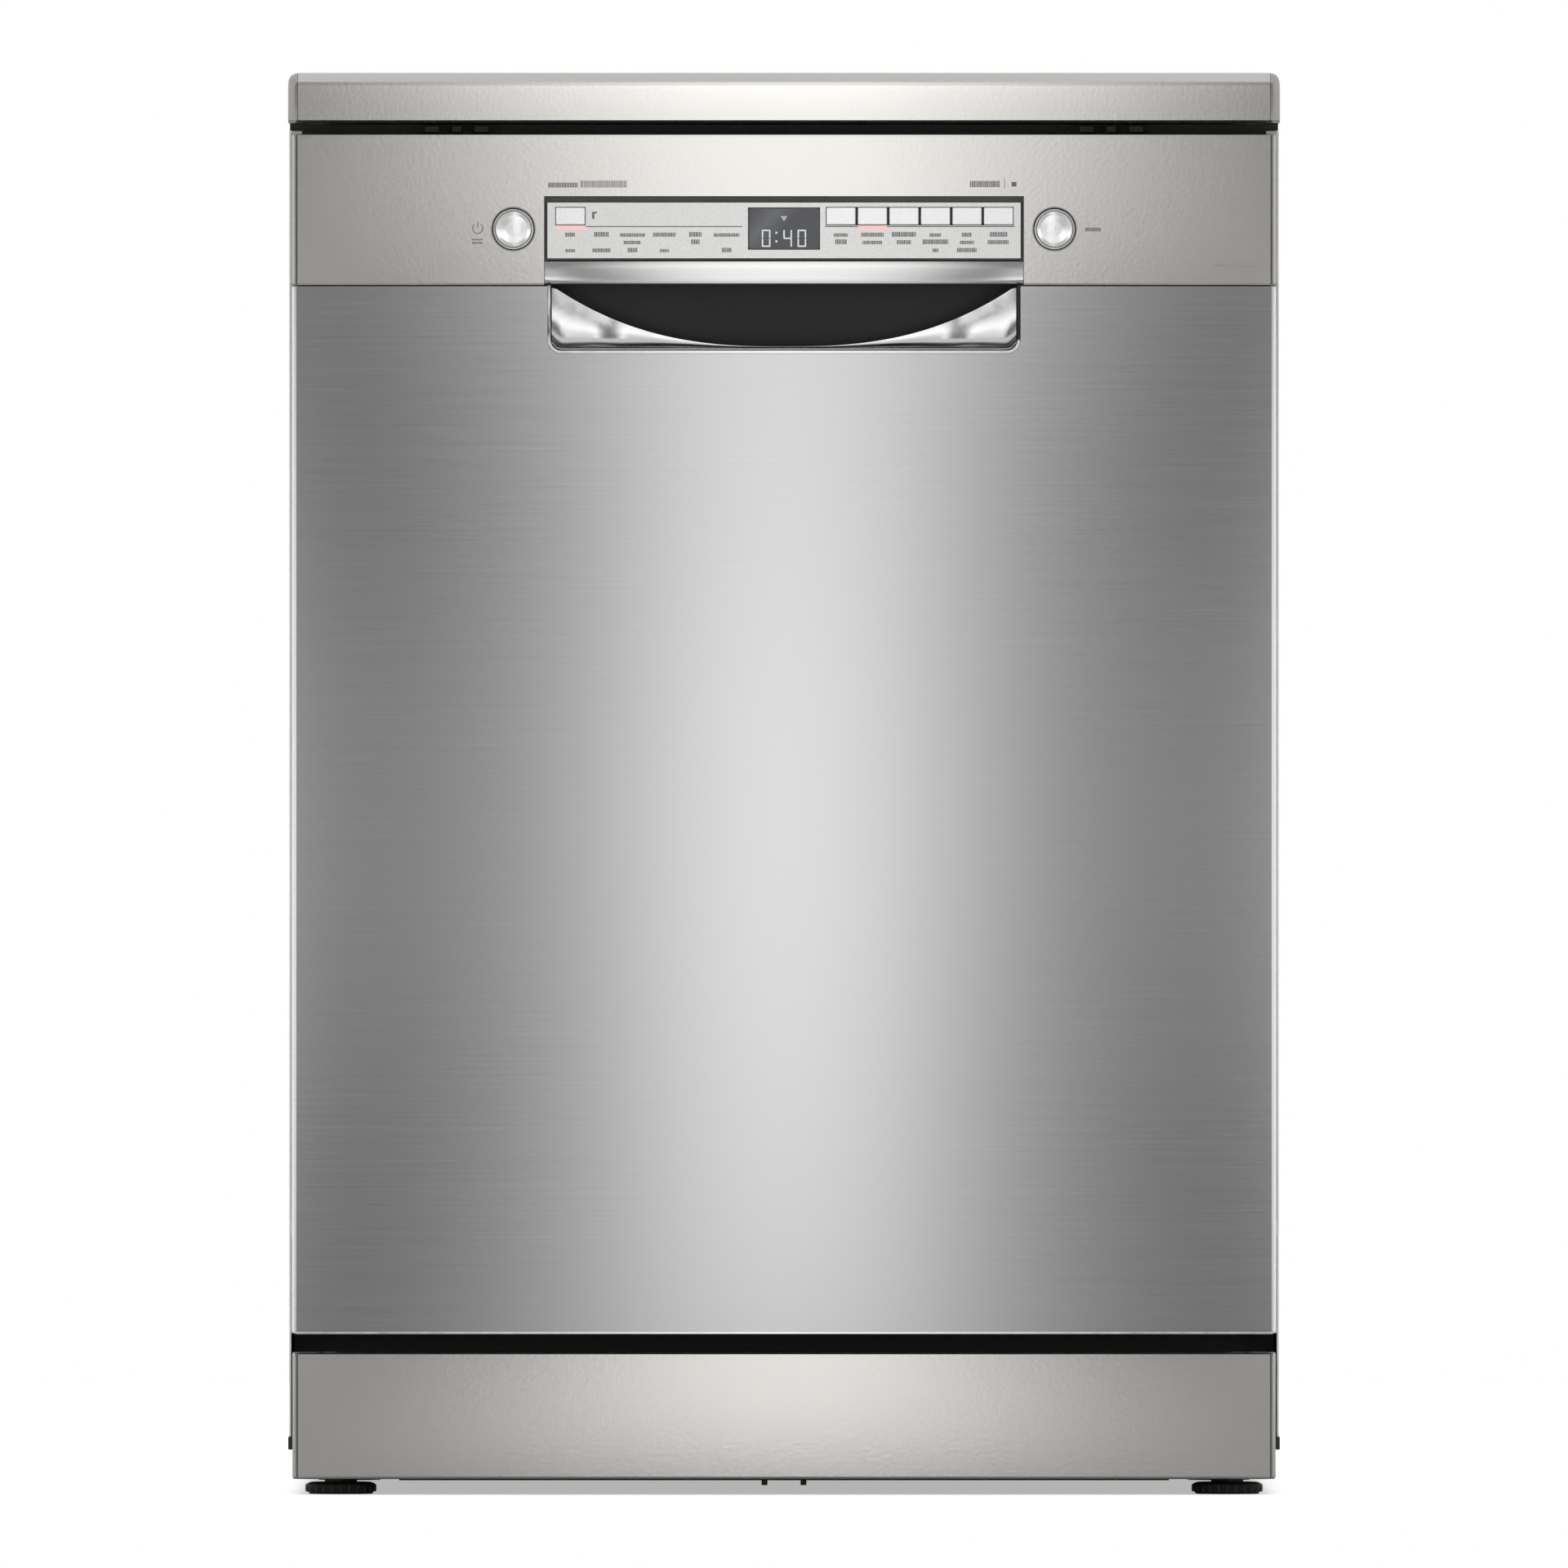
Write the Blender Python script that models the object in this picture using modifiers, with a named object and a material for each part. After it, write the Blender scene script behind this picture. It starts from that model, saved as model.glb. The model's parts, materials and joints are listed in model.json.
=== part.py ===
"""Freestanding 60 cm dishwasher as an assembly of its sub-parts.

Metres, +Z up. The front faces -Y, X runs to the right, and z = 0 is the floor. The door turns about an
axis along X near its lower edge, and both racks run out along -Y.
"""

import math

import bmesh
import bpy
from mathutils import Matrix, Vector

# Overall size
WIDTH, DEPTH, HEIGHT = 0.600, 0.600, 0.860
HALF_W, HALF_D = WIDTH / 2, DEPTH / 2
GAP = 0.0003  # clearance kept between pieces that touch
CLEAR = 0.0007  # running clearance between pieces that move past each other
OVER = 0.004  # how far a cutter reaches past what it cuts

# Worktop and cabinet
WORKTOP_T = 0.030
WORKTOP_EDGE_R = 0.006
SIDE_X = 0.2995  # outer face of a side panel
SHEET = 0.0012  # steel sheet, with its coating
SIDE_Z = (0.027, 0.826)
SIDE_FLANGE = 0.007
SIDE_FRONT_Y = -0.2585  # where a side panel's face ends, just behind the door's edge
CABINET_Y = (-0.246, 0.292)
REAR_FACE_Y = CABINET_Y[1] - 0.004
BACK_PANEL_HALF_W, BACK_PANEL_Z = 0.286, (0.160, 0.822)

# Door and its hinge axis
DOOR_FRONT_Y = -0.298
DOOR_INNER_Y = -0.250
DOOR_HALF_W = 0.2975
DOOR_Z = (0.098, 0.8228)
PANEL_TOP_Z = 0.7308
HINGE = Vector((0.0, -0.266, 0.150))
BRACKET_X, ARM_X = (0.2795, 0.2825), (0.2835, 0.2865)
PIN_R, BRACKET_HOLE_R = 0.0042, 0.0045
LINER_HALF_W, LINER_Z, LINER_T = 0.2945, (0.152, 0.815), 0.0015
RIM_HALF_W, RIM_Y, RIM_Z = 0.278, -0.2665, (0.170, 0.800)
BEFORE_Y, THROUGH_Y = -0.31, -0.28  # a cutter's reach through the door's front

# Control panel and handle
INSERT_HALF_W = 0.145
BAR_HALF_W = 0.1430
BAR_Z = (0.7478, 0.7814)
INSERT_TOP_Z = 0.7853
STRIP_Z = (0.7325, 0.7458)
RECESS_HALF_W = 0.1425
RECESS_Z = 0.6906
RECESS_R = 0.008
POCKET_HALF_W = RECESS_HALF_W - 0.0015
POCKET_FLOOR = RECESS_Z + 0.0015
POCKET_R = RECESS_R - 0.001
POCKET_BACK_Y = -0.2695
POCKET_TOP_Z = 0.756
DISPLAY_HALF_W, DISPLAY_Z = 0.0215, (0.7532, 0.7782)
ROUND_BUTTON_X, ROUND_BUTTON_Z, ROUND_BUTTON_R = 0.1636, 0.7654, 0.0113
ROUND_COLLAR_R, ROUND_HOLE_R = 0.0122, 0.01295
OPTION_X, OPTION_PITCH, OPTION_COUNT = 0.0344, 0.01905, 6
KEY_HALF_W, KEY_Z, KEY_MARGIN = 0.0088, (0.7680, 0.7784), 0.0004
PROGRAM_X = -0.1291
INSERT_FRONT_Y = -0.2925  # front of the black carrier behind the bar, the keys and the strip
CARRIER_Y = (-0.2920, -0.2895)

# Dispenser in the inner door
DISPENSER_HALF_W, DISPENSER_Z = 0.0915, (0.4885, 0.6015)
TRACK_Y = -0.2535
CUP = ((-0.082, 0.500), (-0.024, 0.590))
RINSE = (0.064, 0.545)

# Plinth, base and feet
PLINTH_Z = (0.0094, 0.0864)
PLINTH_Y = (-0.2735, -0.2690)
BASE_HALF_W = 0.2972
BASE_Z = (0.0125, 0.150)
BASE_Y = (-0.200, 0.286)
BASE_WALL, BASE_FLOOR = 0.003, 0.004
SHELF_Y, SHELF_T = -0.2665, 0.010
BASE_ARM_X, BASE_ARM_TOP_Z = 0.284, 0.080
BASE_RIB_HALF_W, BASE_RIB_Z = 0.233, 0.0085
PEG_X, TAB_X = 0.0118, 0.245
GROOVE_X, GROOVE_HALF_W, GROOVE_DEPTH = 0.2946, 0.0006, 0.0010
FOOT_X, FOOT_Y = 0.2685, (-0.235, 0.250)
FOOT_R, FOOT_NECK_R = 0.0215, 0.0115
INLET_START_Y = 0.2865
WATER_INLET_X, WATER_INLET_Z, WATER_INLET_R, WATER_BORE_R = -0.200, 0.100, 0.017, 0.0085
SOCKET_X, SOCKET_Z, SOCKET_WALL = (0.186, 0.226), (0.086, 0.114), 0.004

# Tub
TUB_HALF_W = 0.272
TUB_Z = (0.168, 0.806)
TUB_BACK_Y = 0.262
FLANGE_HALF_W, FLANGE_Z = 0.288, (0.152, 0.820)
SUMP_Y = 0.020
SUMP_R = 0.100
FILTER = Vector((0.045, 0.050, 0.0))
FILTER_R = 0.030
SALT = Vector((-0.175, 0.110, 0.0))
SALT_R = 0.034
SOFTENER = ((-0.285, 0.030, 0.030), (-0.125, 0.190, 0.140))
PUMP_Z = 0.092
DRAIN_PUMP = Vector((-0.060, -0.150, 0.060))
PUMP_FOOT_Z = 0.025
PIPE_Y, PIPE_R, PIPE_BEND = 0.2385, 0.0080, 0.035
PIPE_Z, SPRAYER_Z = (0.150, 0.790), 0.776

# Racks
UPPER_RACK = ((-0.252, -0.224, 0.500), (0.252, 0.226, 0.640))
LOWER_RACK = ((-0.252, -0.220, 0.212), (0.252, 0.220, 0.372))
RACK_WIRE = 0.004
WHEEL_R, WHEEL_T = 0.020, 0.012
WHEEL_Y = 0.110
ARM_R, ARM_END_R, ARM_T = 0.204, 0.014, 0.010
RAIL_X, RAIL_Y, RAIL_Z = (0.2575, 0.2700), (-0.235, 0.240), (0.560, 0.580)
BASKET = ((0.118, -0.195, 0.2145), (0.240, 0.040, 0.335))
BASKET_WALL = 0.002


# ---------------------------------------------------------------- scene and materials


def clear_scene():
    for obj in list(bpy.data.objects):
        bpy.data.objects.remove(obj, do_unlink=True)


def new_collection(name, hidden):
    collection = bpy.data.collections.new(name)
    bpy.context.scene.collection.children.link(collection)
    collection.hide_render = hidden
    return collection


clear_scene()
PARTS = new_collection("dishwasher", False)
HELPERS = new_collection("cutters", True)

FINISHES = {
    "silver": ((0.66, 0.65, 0.63), 0.34, 0.55),
    "steel": ((0.52, 0.52, 0.51), 0.28, 1.0),
    "zinc": ((0.42, 0.43, 0.44), 0.42, 1.0),
    "chrome": ((0.78, 0.78, 0.78), 0.12, 1.0),
    "black": ((0.012, 0.012, 0.013), 0.45, 0.0),
    "dark_grey": ((0.055, 0.056, 0.060), 0.50, 0.0),
    "grey": ((0.30, 0.31, 0.32), 0.45, 0.0),
    "white": ((0.75, 0.75, 0.74), 0.40, 0.0),
    "rubber": ((0.035, 0.035, 0.037), 0.80, 0.0),
    "wire": ((0.46, 0.48, 0.50), 0.38, 0.0),
    "window": ((0.020, 0.021, 0.023), 0.08, 0.0),
    "board": ((0.03, 0.16, 0.07), 0.50, 0.0),
}


def material(name, finish):
    colour, roughness, metallic = FINISHES[finish]
    made = bpy.data.materials.new(name)
    made.use_nodes = True
    shader = made.node_tree.nodes["Principled BSDF"]
    shader.inputs["Base Color"].default_value = (*colour, 1.0)
    shader.inputs["Roughness"].default_value = roughness
    shader.inputs["Metallic"].default_value = metallic
    return made


# ---------------------------------------------------------------- shape helpers


def object_of(name, bm, origin):
    """An object holding the mesh, which is in world coordinates, with its own origin at the given point."""
    bmesh.ops.recalc_face_normals(bm, faces=bm.faces)
    bmesh.ops.translate(bm, vec=-Vector(origin), verts=bm.verts)
    mesh = bpy.data.meshes.new(name)
    bm.to_mesh(mesh)
    bm.free()
    obj = bpy.data.objects.new(name, mesh)
    obj.location = origin
    return obj


def part(obj, finish):
    """Puts the object among the parts, with a material of its own."""
    PARTS.objects.link(obj)
    obj.data.materials.append(material(obj.name, finish))
    obj.data.shade_smooth()
    obj.data.set_sharp_from_angle(angle=math.radians(35))
    return obj


def helper(obj):
    HELPERS.objects.link(obj)
    obj.hide_render = True
    obj.display_type = "WIRE"
    return obj


def box(name, low, high, origin=None):
    low, high = Vector(low), Vector(high)
    centre, size = (low + high) / 2, high - low
    bm = bmesh.new()
    bmesh.ops.create_cube(bm, size=1.0, matrix=Matrix.Translation(centre) @ Matrix.Diagonal((*size, 1.0)))
    return object_of(name, bm, centre if origin is None else origin)


AXIS_TURN = {
    "X": Matrix.Rotation(math.radians(90), 4, "Y"),
    "Y": Matrix.Rotation(math.radians(-90), 4, "X"),
    "Z": Matrix.Identity(4),
}


def rod(name, start, length, radius, axis="Z", end_radius=None, sides=32):
    """A cylinder or cone from its start point along +axis."""
    turn = AXIS_TURN[axis]
    middle = Vector(start) + turn @ Vector((0, 0, length / 2))
    bm = bmesh.new()
    bmesh.ops.create_cone(
        bm,
        cap_ends=True,
        segments=sides,
        radius1=radius,
        radius2=radius if end_radius is None else end_radius,
        depth=length,
        matrix=Matrix.Translation(middle) @ turn,
    )
    return object_of(name, bm, start)


def turned(name, profile, centre, axis="Z", steps=32):
    """A profile of (radius, height) points, top to bottom down its outer side, turned about an axis."""
    mesh = bpy.data.meshes.new(name)
    ends = len(profile) if profile[0][0] > 0 else len(profile) - 1
    edges = [(i, (i + 1) % len(profile)) for i in range(ends)]
    mesh.from_pydata([(r, 0, h) for r, h in profile], edges, [])
    obj = bpy.data.objects.new(name, mesh)
    obj.matrix_world = Matrix.Translation(centre) @ AXIS_TURN[axis]
    screw = obj.modifiers.new("turn", "SCREW")
    screw.steps = screw.render_steps = steps
    screw.use_merge_vertices = True
    screw.merge_threshold = 0.00001
    screw.use_smooth_shade = True
    return obj


def bevel(obj, width, segments=2):
    made = obj.modifiers.new("rounded edges", "BEVEL")
    made.width = width
    made.segments = segments
    made.limit_method = "ANGLE"
    made.angle_limit = math.radians(40)
    return obj


def combine(obj, others, operation):
    for other in others:
        made = obj.modifiers.new(operation.lower(), "BOOLEAN")
        made.operation = operation
        made.object = helper(other)
    return obj


def cut(obj, *cutters):
    return combine(obj, cutters, "DIFFERENCE")


def join(obj, *others):
    return combine(obj, others, "UNION")


def prism(name, outline, low, high, axis="X", origin=None):
    """A flat outline swept along one axis. The outline's points are (y, z), (x, z) or (x, y)."""
    place = {"X": lambda p, t: (t, *p), "Y": lambda p, t: (p[0], t, p[1]), "Z": lambda p, t: (*p, t)}[axis]
    bm = bmesh.new()
    face = bm.faces.new([bm.verts.new(place(p, low)) for p in outline])
    swept = bmesh.ops.extrude_face_region(bm, geom=[face])["geom"]
    moved = [v for v in swept if isinstance(v, bmesh.types.BMVert)]
    step = Vector(place((0.0, 0.0), high - low))
    bmesh.ops.translate(bm, vec=step, verts=moved)
    return object_of(name, bm, place(outline[0], low) if origin is None else origin)


def folded_sheet(name, line, low, high, thickness=SHEET, origin=None):
    """Sheet metal bent along a line of (x, y) points and standing from low to high in z."""
    bm = bmesh.new()
    bottom = [bm.verts.new((*p, low)) for p in line]
    top = [bm.verts.new((*p, high)) for p in line]
    for i in range(len(line) - 1):
        bm.faces.new((bottom[i], bottom[i + 1], top[i + 1], top[i]))
    obj = object_of(name, bm, (*line[0], low) if origin is None else origin)
    solid = obj.modifiers.new("thickness", "SOLIDIFY")
    solid.thickness = thickness
    solid.offset = 0.0
    solid.use_even_offset = True
    return obj


def rounded_rect(half_w, z_low, z_high, radius, steps=5):
    """(x, z) points of a rectangle whose two lower corners are rounded."""
    points = [(-half_w, z_high)]
    for side, start in ((-1, 180), (1, 270)):
        centre_x = side * (half_w - radius)
        for i in range(steps + 1):
            angle = math.radians(start + 90 * i / steps)
            points.append((centre_x + radius * math.cos(angle), z_low + radius + radius * math.sin(angle)))
    return points + [(half_w, z_high)]


def empty(name, place):
    obj = bpy.data.objects.new(name, None)
    obj.location = place
    PARTS.objects.link(obj)
    return obj


def carry(frame, *pieces):
    """Hangs pieces on an empty that stands on their joint's axis, and leaves them where they are."""
    for piece in pieces:
        piece.parent = frame
        piece.location = Vector(piece.location) - Vector(frame.location)


# ---------------------------------------------------------------- cabinet and base


def worktop():
    low = (-HALF_W, -HALF_D, HEIGHT - WORKTOP_T)
    top = bevel(box("worktop", low, (HALF_W, HALF_D, HEIGHT)), WORKTOP_EDGE_R, 3)
    part(top, "silver")


def side_panel(name, side):
    """Folded steel: a face with flanges turned in at front and back, the front one cut away for the door."""
    face = SIDE_X - SHEET / 2
    inner = face - SIDE_FLANGE
    front, back = CABINET_Y
    line = [(inner, front), (face, front), (face, back), (inner, back)]
    panel = folded_sheet(name, [(side * x, y) for x, y in line], *SIDE_Z)
    x_low, x_high = sorted((side * (SIDE_X - SHEET), side * SIDE_X))
    lip = box(name + "_lip", (x_low, SIDE_FRONT_Y, SIDE_Z[0]), (x_high, front + SHEET, SIDE_Z[1]))
    x_low, x_high = sorted((side * (inner - 0.001), side * (SIDE_X - SHEET)))
    notch = box(name + "_notch", (x_low, front - 0.002, 0.0), (x_high, front + 0.002, HINGE.z + 0.020))
    part(cut(join(panel, lip), notch), "silver")


def back_panel():
    low = (-BACK_PANEL_HALF_W, REAR_FACE_Y - SHEET, BACK_PANEL_Z[0])
    part(box("back_panel", low, (BACK_PANEL_HALF_W, REAR_FACE_Y, BACK_PANEL_Z[1])), "zinc")


def base_tray():
    """The moulded base that carries the tub, the pumps, the plinth and the feet."""
    low_z, high_z = BASE_Z
    front, back = BASE_Y
    tray = box("base_tray", (-BASE_HALF_W, front, low_z), (BASE_HALF_W, back, high_z))
    hollow = BASE_HALF_W - BASE_WALL
    inside_low = (-hollow, front + BASE_WALL, low_z + BASE_FLOOR)
    inside = box("base_inside", inside_low, (hollow, back - BASE_WALL, high_z + OVER))
    shelf = box("base_shelf", (-BASE_HALF_W, SHELF_Y, low_z), (BASE_HALF_W, front + 0.002, low_z + SHELF_T))
    rib_low = (-BASE_RIB_HALF_W, SHELF_Y + 0.0045, BASE_RIB_Z)
    rib = box("base_rib", rib_low, (BASE_RIB_HALF_W, back - 0.010, low_z + 0.002))
    added = [shelf, rib]
    for side in (-1, 1):
        inner, outer = sorted((side * BASE_ARM_X, side * BASE_HALF_W))
        arm_high = (outer, front + 0.002, BASE_ARM_TOP_Z)
        added.append(box(f"base_arm_{side}", (inner, SHELF_Y + 0.001, low_z), arm_high))
        added.append(rod(f"base_peg_{side}", (side * PEG_X, -0.255, 0.0055), 0.006, 0.0018, sides=12))
        tab_low = (side * TAB_X - 0.005, -0.262, 0.010)
        added.append(box(f"base_tab_{side}", tab_low, (side * TAB_X + 0.005, -0.250, 0.014)))
    part(join(cut(tray, inside), *added), "black")


def side_grooves(name, face_y, low_z, high_z):
    """Cutters for the fine upright groove near each end of a panel."""
    cutters = []
    for side in (-1, 1):
        x = side * GROOVE_X
        low = (x - GROOVE_HALF_W, face_y - OVER, low_z - OVER)
        high = (x + GROOVE_HALF_W, face_y + GROOVE_DEPTH, high_z + OVER)
        cutters.append(box(f"{name}_{side}", low, high))
    return cutters


def plinth_panel():
    low, high = PLINTH_Z
    panel = box("plinth_panel", (-DOOR_HALF_W, PLINTH_Y[0], low), (DOOR_HALF_W, PLINTH_Y[1], high))
    bevel(panel, 0.0015, 2)
    part(cut(panel, *side_grooves("plinth_groove", PLINTH_Y[0], low, high)), "silver")


def foot(name, x, y):
    """A flared pad on a threaded neck that screws up into the base."""
    pad = FOOT_R
    top = BASE_Z[0] - GAP
    profile = [
        (0, top),
        (FOOT_NECK_R, top),
        (FOOT_NECK_R, 0.0085),
        (pad - 0.002, 0.0078),
        (pad, 0.0068),
        (pad - 0.0022, 0.0),
        (0, 0),
    ]
    return part(turned(name, profile, (x, y, 0), steps=28), "black")


def hinge_bracket(name, side):
    """Fixed hinge half: a steel plate from the base's side, out to the door's axis."""
    x_low, x_high = sorted(side * x for x in BRACKET_X)
    y, z = HINGE.y, HINGE.z
    outline = [(y - 0.011, z - 0.008), (y + 0.006, z - 0.012), (-0.206, z - 0.012), (-0.206, z - 0.060)]
    base_y = BASE_Y[0] - GAP
    outline += [(base_y, z - 0.060), (base_y, z - 0.0005), (y + 0.006, z + 0.001)]
    plate = prism(name, outline, x_low, x_high)
    eye = rod(name + "_eye", (x_low, y, z), x_high - x_low, 0.012, "X", sides=24)
    hole_start = (x_low - OVER, y, z)
    hole = rod(name + "_hole", hole_start, x_high - x_low + 2 * OVER, BRACKET_HOLE_R, "X", sides=20)
    join(plate, eye)
    part(cut(plate, hole), "zinc")


def water_inlet():
    start = (WATER_INLET_X, INLET_START_Y, WATER_INLET_Z)
    body = rod("water_inlet_connector", start, 0.0115, WATER_INLET_R, "Y", sides=24)
    bore = rod("inlet_bore", (start[0], start[1] + 0.0035, start[2]), 0.02, WATER_BORE_R, "Y", sides=20)
    part(cut(body, bore), "white")


def mains_socket():
    low = (SOCKET_X[0], INLET_START_Y, SOCKET_Z[0])
    socket = box("mains_inlet_socket", low, (SOCKET_X[1], INLET_START_Y + 0.011, SOCKET_Z[1]))
    mouth_low = (SOCKET_X[0] + SOCKET_WALL, REAR_FACE_Y, SOCKET_Z[0] + SOCKET_WALL)
    mouth_high = (SOCKET_X[1] - SOCKET_WALL, HALF_D + OVER, SOCKET_Z[1] - SOCKET_WALL)
    part(cut(socket, box("socket_mouth", mouth_low, mouth_high)), "black")


# ---------------------------------------------------------------- tub and wash system


def tub():
    """An open-fronted stainless box with a flange around its mouth and openings in its floor."""
    front = CABINET_Y[0]
    wall = SHEET
    outer_low = (-TUB_HALF_W - wall, front, TUB_Z[0] - wall)
    shell = box("tub", outer_low, (TUB_HALF_W + wall, TUB_BACK_Y + wall, TUB_Z[1] + wall))
    flange_low = (-FLANGE_HALF_W, front - 0.0005, FLANGE_Z[0])
    flange = box("tub_flange", flange_low, (FLANGE_HALF_W, front + 0.0010, FLANGE_Z[1]))
    space_low = (-TUB_HALF_W, front - OVER, TUB_Z[0])
    space = box("tub_space", space_low, (TUB_HALF_W, TUB_BACK_Y, TUB_Z[1]))
    bevel(space, 0.003, 2)
    sump_hole = rod("tub_sump_hole", (0, SUMP_Y, TUB_Z[0] - 0.02), 0.04, SUMP_R, sides=40)
    salt_hole = rod("tub_salt_hole", (SALT.x, SALT.y, TUB_Z[0] - 0.02), 0.04, 0.030, sides=24)
    pipe_hole = rod("tub_pipe_hole", (0, PIPE_Y, TUB_Z[0] - 0.02), 0.04, PIPE_R + 0.0005, sides=16)
    join(shell, flange)
    part(cut(shell, space, sump_hole, salt_hole, pipe_hole), "steel")


def tub_seal():
    back = CABINET_Y[0] - 0.0005 - GAP
    front = DOOR_INNER_Y + GAP
    ring = box("tub_seal", (-0.286, front, 0.1525), (0.286, back, 0.8185))
    mouth = box("seal_mouth", (-0.2745, front - OVER, 0.1665), (0.2745, back + OVER, 0.8075))
    part(cut(ring, mouth), "rubber")


def sump():
    """A bowl under the tub floor, with an outlet stub to the circulation pump."""
    rim = TUB_Z[0] - SHEET - GAP
    bowl = rod("sump", (0, SUMP_Y, 0.070), rim - 0.070, 0.060, end_radius=0.112, sides=40)
    inside = rod("sump_inside", (0, SUMP_Y, 0.128), 0.045, 0.088, end_radius=0.103, sides=40)
    outlet = rod("sump_outlet", (0.050, SUMP_Y, PUMP_Z), 0.040, 0.012, "X", sides=20)
    join(bowl, outlet)
    part(cut(bowl, inside), "dark_grey")


def fine_filter():
    """A flat sieve plate in the tub's floor, with a round hole that holds the coarse filter."""
    plate = rod("fine_filter", (0, SUMP_Y, 0.1640), 0.0045, SUMP_R - 0.0010, sides=40)
    hole = rod("filter_hole", (FILTER.x, FILTER.y, 0.15), 0.04, FILTER_R + CLEAR, sides=28)
    post = rod("filter_post", (0, SUMP_Y, 0.1670), 0.0220, 0.0120, sides=20)
    part(cut(join(plate, post), hole), "zinc")


def coarse_filter():
    """A cup sieve with a bar across its top to turn it by."""
    x, y = FILTER.x, FILTER.y
    cup = rod("coarse_filter", (x, y, 0.1350), 0.0370, FILTER_R, sides=28)
    hollow = rod("filter_hollow", (x, y, 0.1380), 0.0500, FILTER_R - 0.004, sides=28)
    half = FILTER_R - 0.001
    grip = box("filter_grip", (x - half, y - 0.003, 0.1660), (x + half, y + 0.003, 0.1775))
    join(cut(cup, hollow), grip)
    return part(cup, "grey")


def salt_cap():
    x, y = SALT.x, SALT.y
    cap = rod("salt_cap", (x, y, 0.1695), 0.0110, SALT_R, sides=28)
    plug = rod("salt_plug", (x, y, 0.1450), 0.0260, 0.0230, sides=24)
    ridge = box("salt_ridge", (x - 0.026, y - 0.004, 0.1790), (x + 0.026, y + 0.004, 0.1860))
    return part(join(cap, plug, ridge), "white")


def softener_tank():
    x, y = SALT.x, SALT.y
    tank = bevel(box("softener_tank", *SOFTENER), 0.006, 2)
    neck = rod("tank_neck", (x, y, 0.1300), 0.0360, 0.0285, sides=28)
    bore = rod("tank_bore", (x, y, 0.0400), 0.1600, 0.0250, sides=24)
    part(cut(join(tank, neck), bore), "white")


def circulation_pump():
    motor = rod("circulation_pump", (0.0910, SUMP_Y, PUMP_Z), 0.0900, 0.0350, "X", sides=28)
    nose = rod("pump_nose", (0.1700, SUMP_Y, PUMP_Z), 0.0400, 0.0240, "X", sides=24)
    foot_block = box("pump_foot", (0.110, SUMP_Y - 0.020, PUMP_FOOT_Z), (0.165, SUMP_Y + 0.020, 0.070))
    part(join(motor, nose, foot_block), "dark_grey")


def drain_pump():
    x, y, z = DRAIN_PUMP
    motor = rod("drain_pump", (x, y, z), 0.0700, 0.0260, "X", sides=24)
    volute = rod("drain_volute", (x + 0.065, y, z), 0.0220, 0.0320, "X", sides=24)
    base = box("drain_foot", (x + 0.020, y - 0.015, PUMP_FOOT_Z), (x + 0.060, y + 0.015, z - 0.010))
    part(join(motor, volute, base), "black")


def spray_feed_pipe():
    """The pipe up the tub's rear wall that feeds the upper arm, with a ceiling sprayer on its end."""
    low_z, high_z = PIPE_Z
    curve = bpy.data.curves.new("feed_pipe", "CURVE")
    curve.dimensions = "3D"
    curve.bevel_depth = PIPE_R
    curve.bevel_resolution = 3
    curve.use_fill_caps = True
    bend_y, bend_z = PIPE_Y - PIPE_BEND, high_z - PIPE_BEND
    route = [(0, PIPE_Y, low_z), (0, PIPE_Y, bend_z)]
    for i in range(1, 7):
        angle = math.radians(90 * i / 6)
        route.append((0, bend_y + PIPE_BEND * math.cos(angle), bend_z + PIPE_BEND * math.sin(angle)))
    route.append((0, SUMP_Y, high_z))
    spline = curve.splines.new("POLY")
    spline.points.add(len(route) - 1)
    for point, place in zip(spline.points, route):
        point.co = (*place, 1)
    source = bpy.data.objects.new("feed_pipe", curve)
    HELPERS.objects.link(source)
    pipe = meshed(source, "spray_feed_pipe")
    rose = rod("ceiling_sprayer", (0, SUMP_Y, SPRAYER_Z), 0.012, 0.026, end_radius=0.012, sides=24)
    part(join(pipe, rose), "grey")


def meshed(curve_obj, name):
    """The curve's evaluated mesh as an object of its own, with its caps welded on."""
    bpy.context.view_layer.update()
    graph = bpy.context.evaluated_depsgraph_get()
    mesh = bpy.data.meshes.new_from_object(curve_obj.evaluated_get(graph))
    bm = bmesh.new()
    bm.from_mesh(mesh)
    bmesh.ops.remove_doubles(bm, verts=bm.verts, dist=0.00001)
    bmesh.ops.recalc_face_normals(bm, faces=bm.faces)
    bm.to_mesh(mesh)
    bm.free()
    obj = bpy.data.objects.new(name, mesh)
    obj.matrix_world = curve_obj.matrix_world
    bpy.data.objects.remove(curve_obj, do_unlink=True)
    return obj


def spray_arm(name, z, hub_low, hub_high):
    """A long flat arm, widest at its hub, that turns on a post."""
    centre = Vector((0, SUMP_Y, z))
    outline = []
    for side in (1, -1):
        end_x = side * (ARM_R - ARM_END_R)
        for i in range(7):
            angle = math.radians(-90 + 180 * i / 6) + (math.pi if side < 0 else 0)
            outline.append((end_x + ARM_END_R * math.cos(angle), SUMP_Y + ARM_END_R * math.sin(angle)))
        outline.append((side * 0.040, SUMP_Y + side * 0.024))
        outline.append((-side * 0.040, SUMP_Y + side * 0.024))
    arm = prism(name, outline, z, z + ARM_T, axis="Z", origin=centre)
    hub = rod(name + "_hub", (0, SUMP_Y, hub_low), hub_high - hub_low, 0.030, sides=28)
    bore = rod(name + "_bore", (0, SUMP_Y, hub_low - OVER), 0.012 + OVER, 0.0145, sides=24)
    bevel(arm, 0.0025, 2)
    return part(cut(join(arm, hub), bore), "dark_grey")


# ---------------------------------------------------------------- racks


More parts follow.
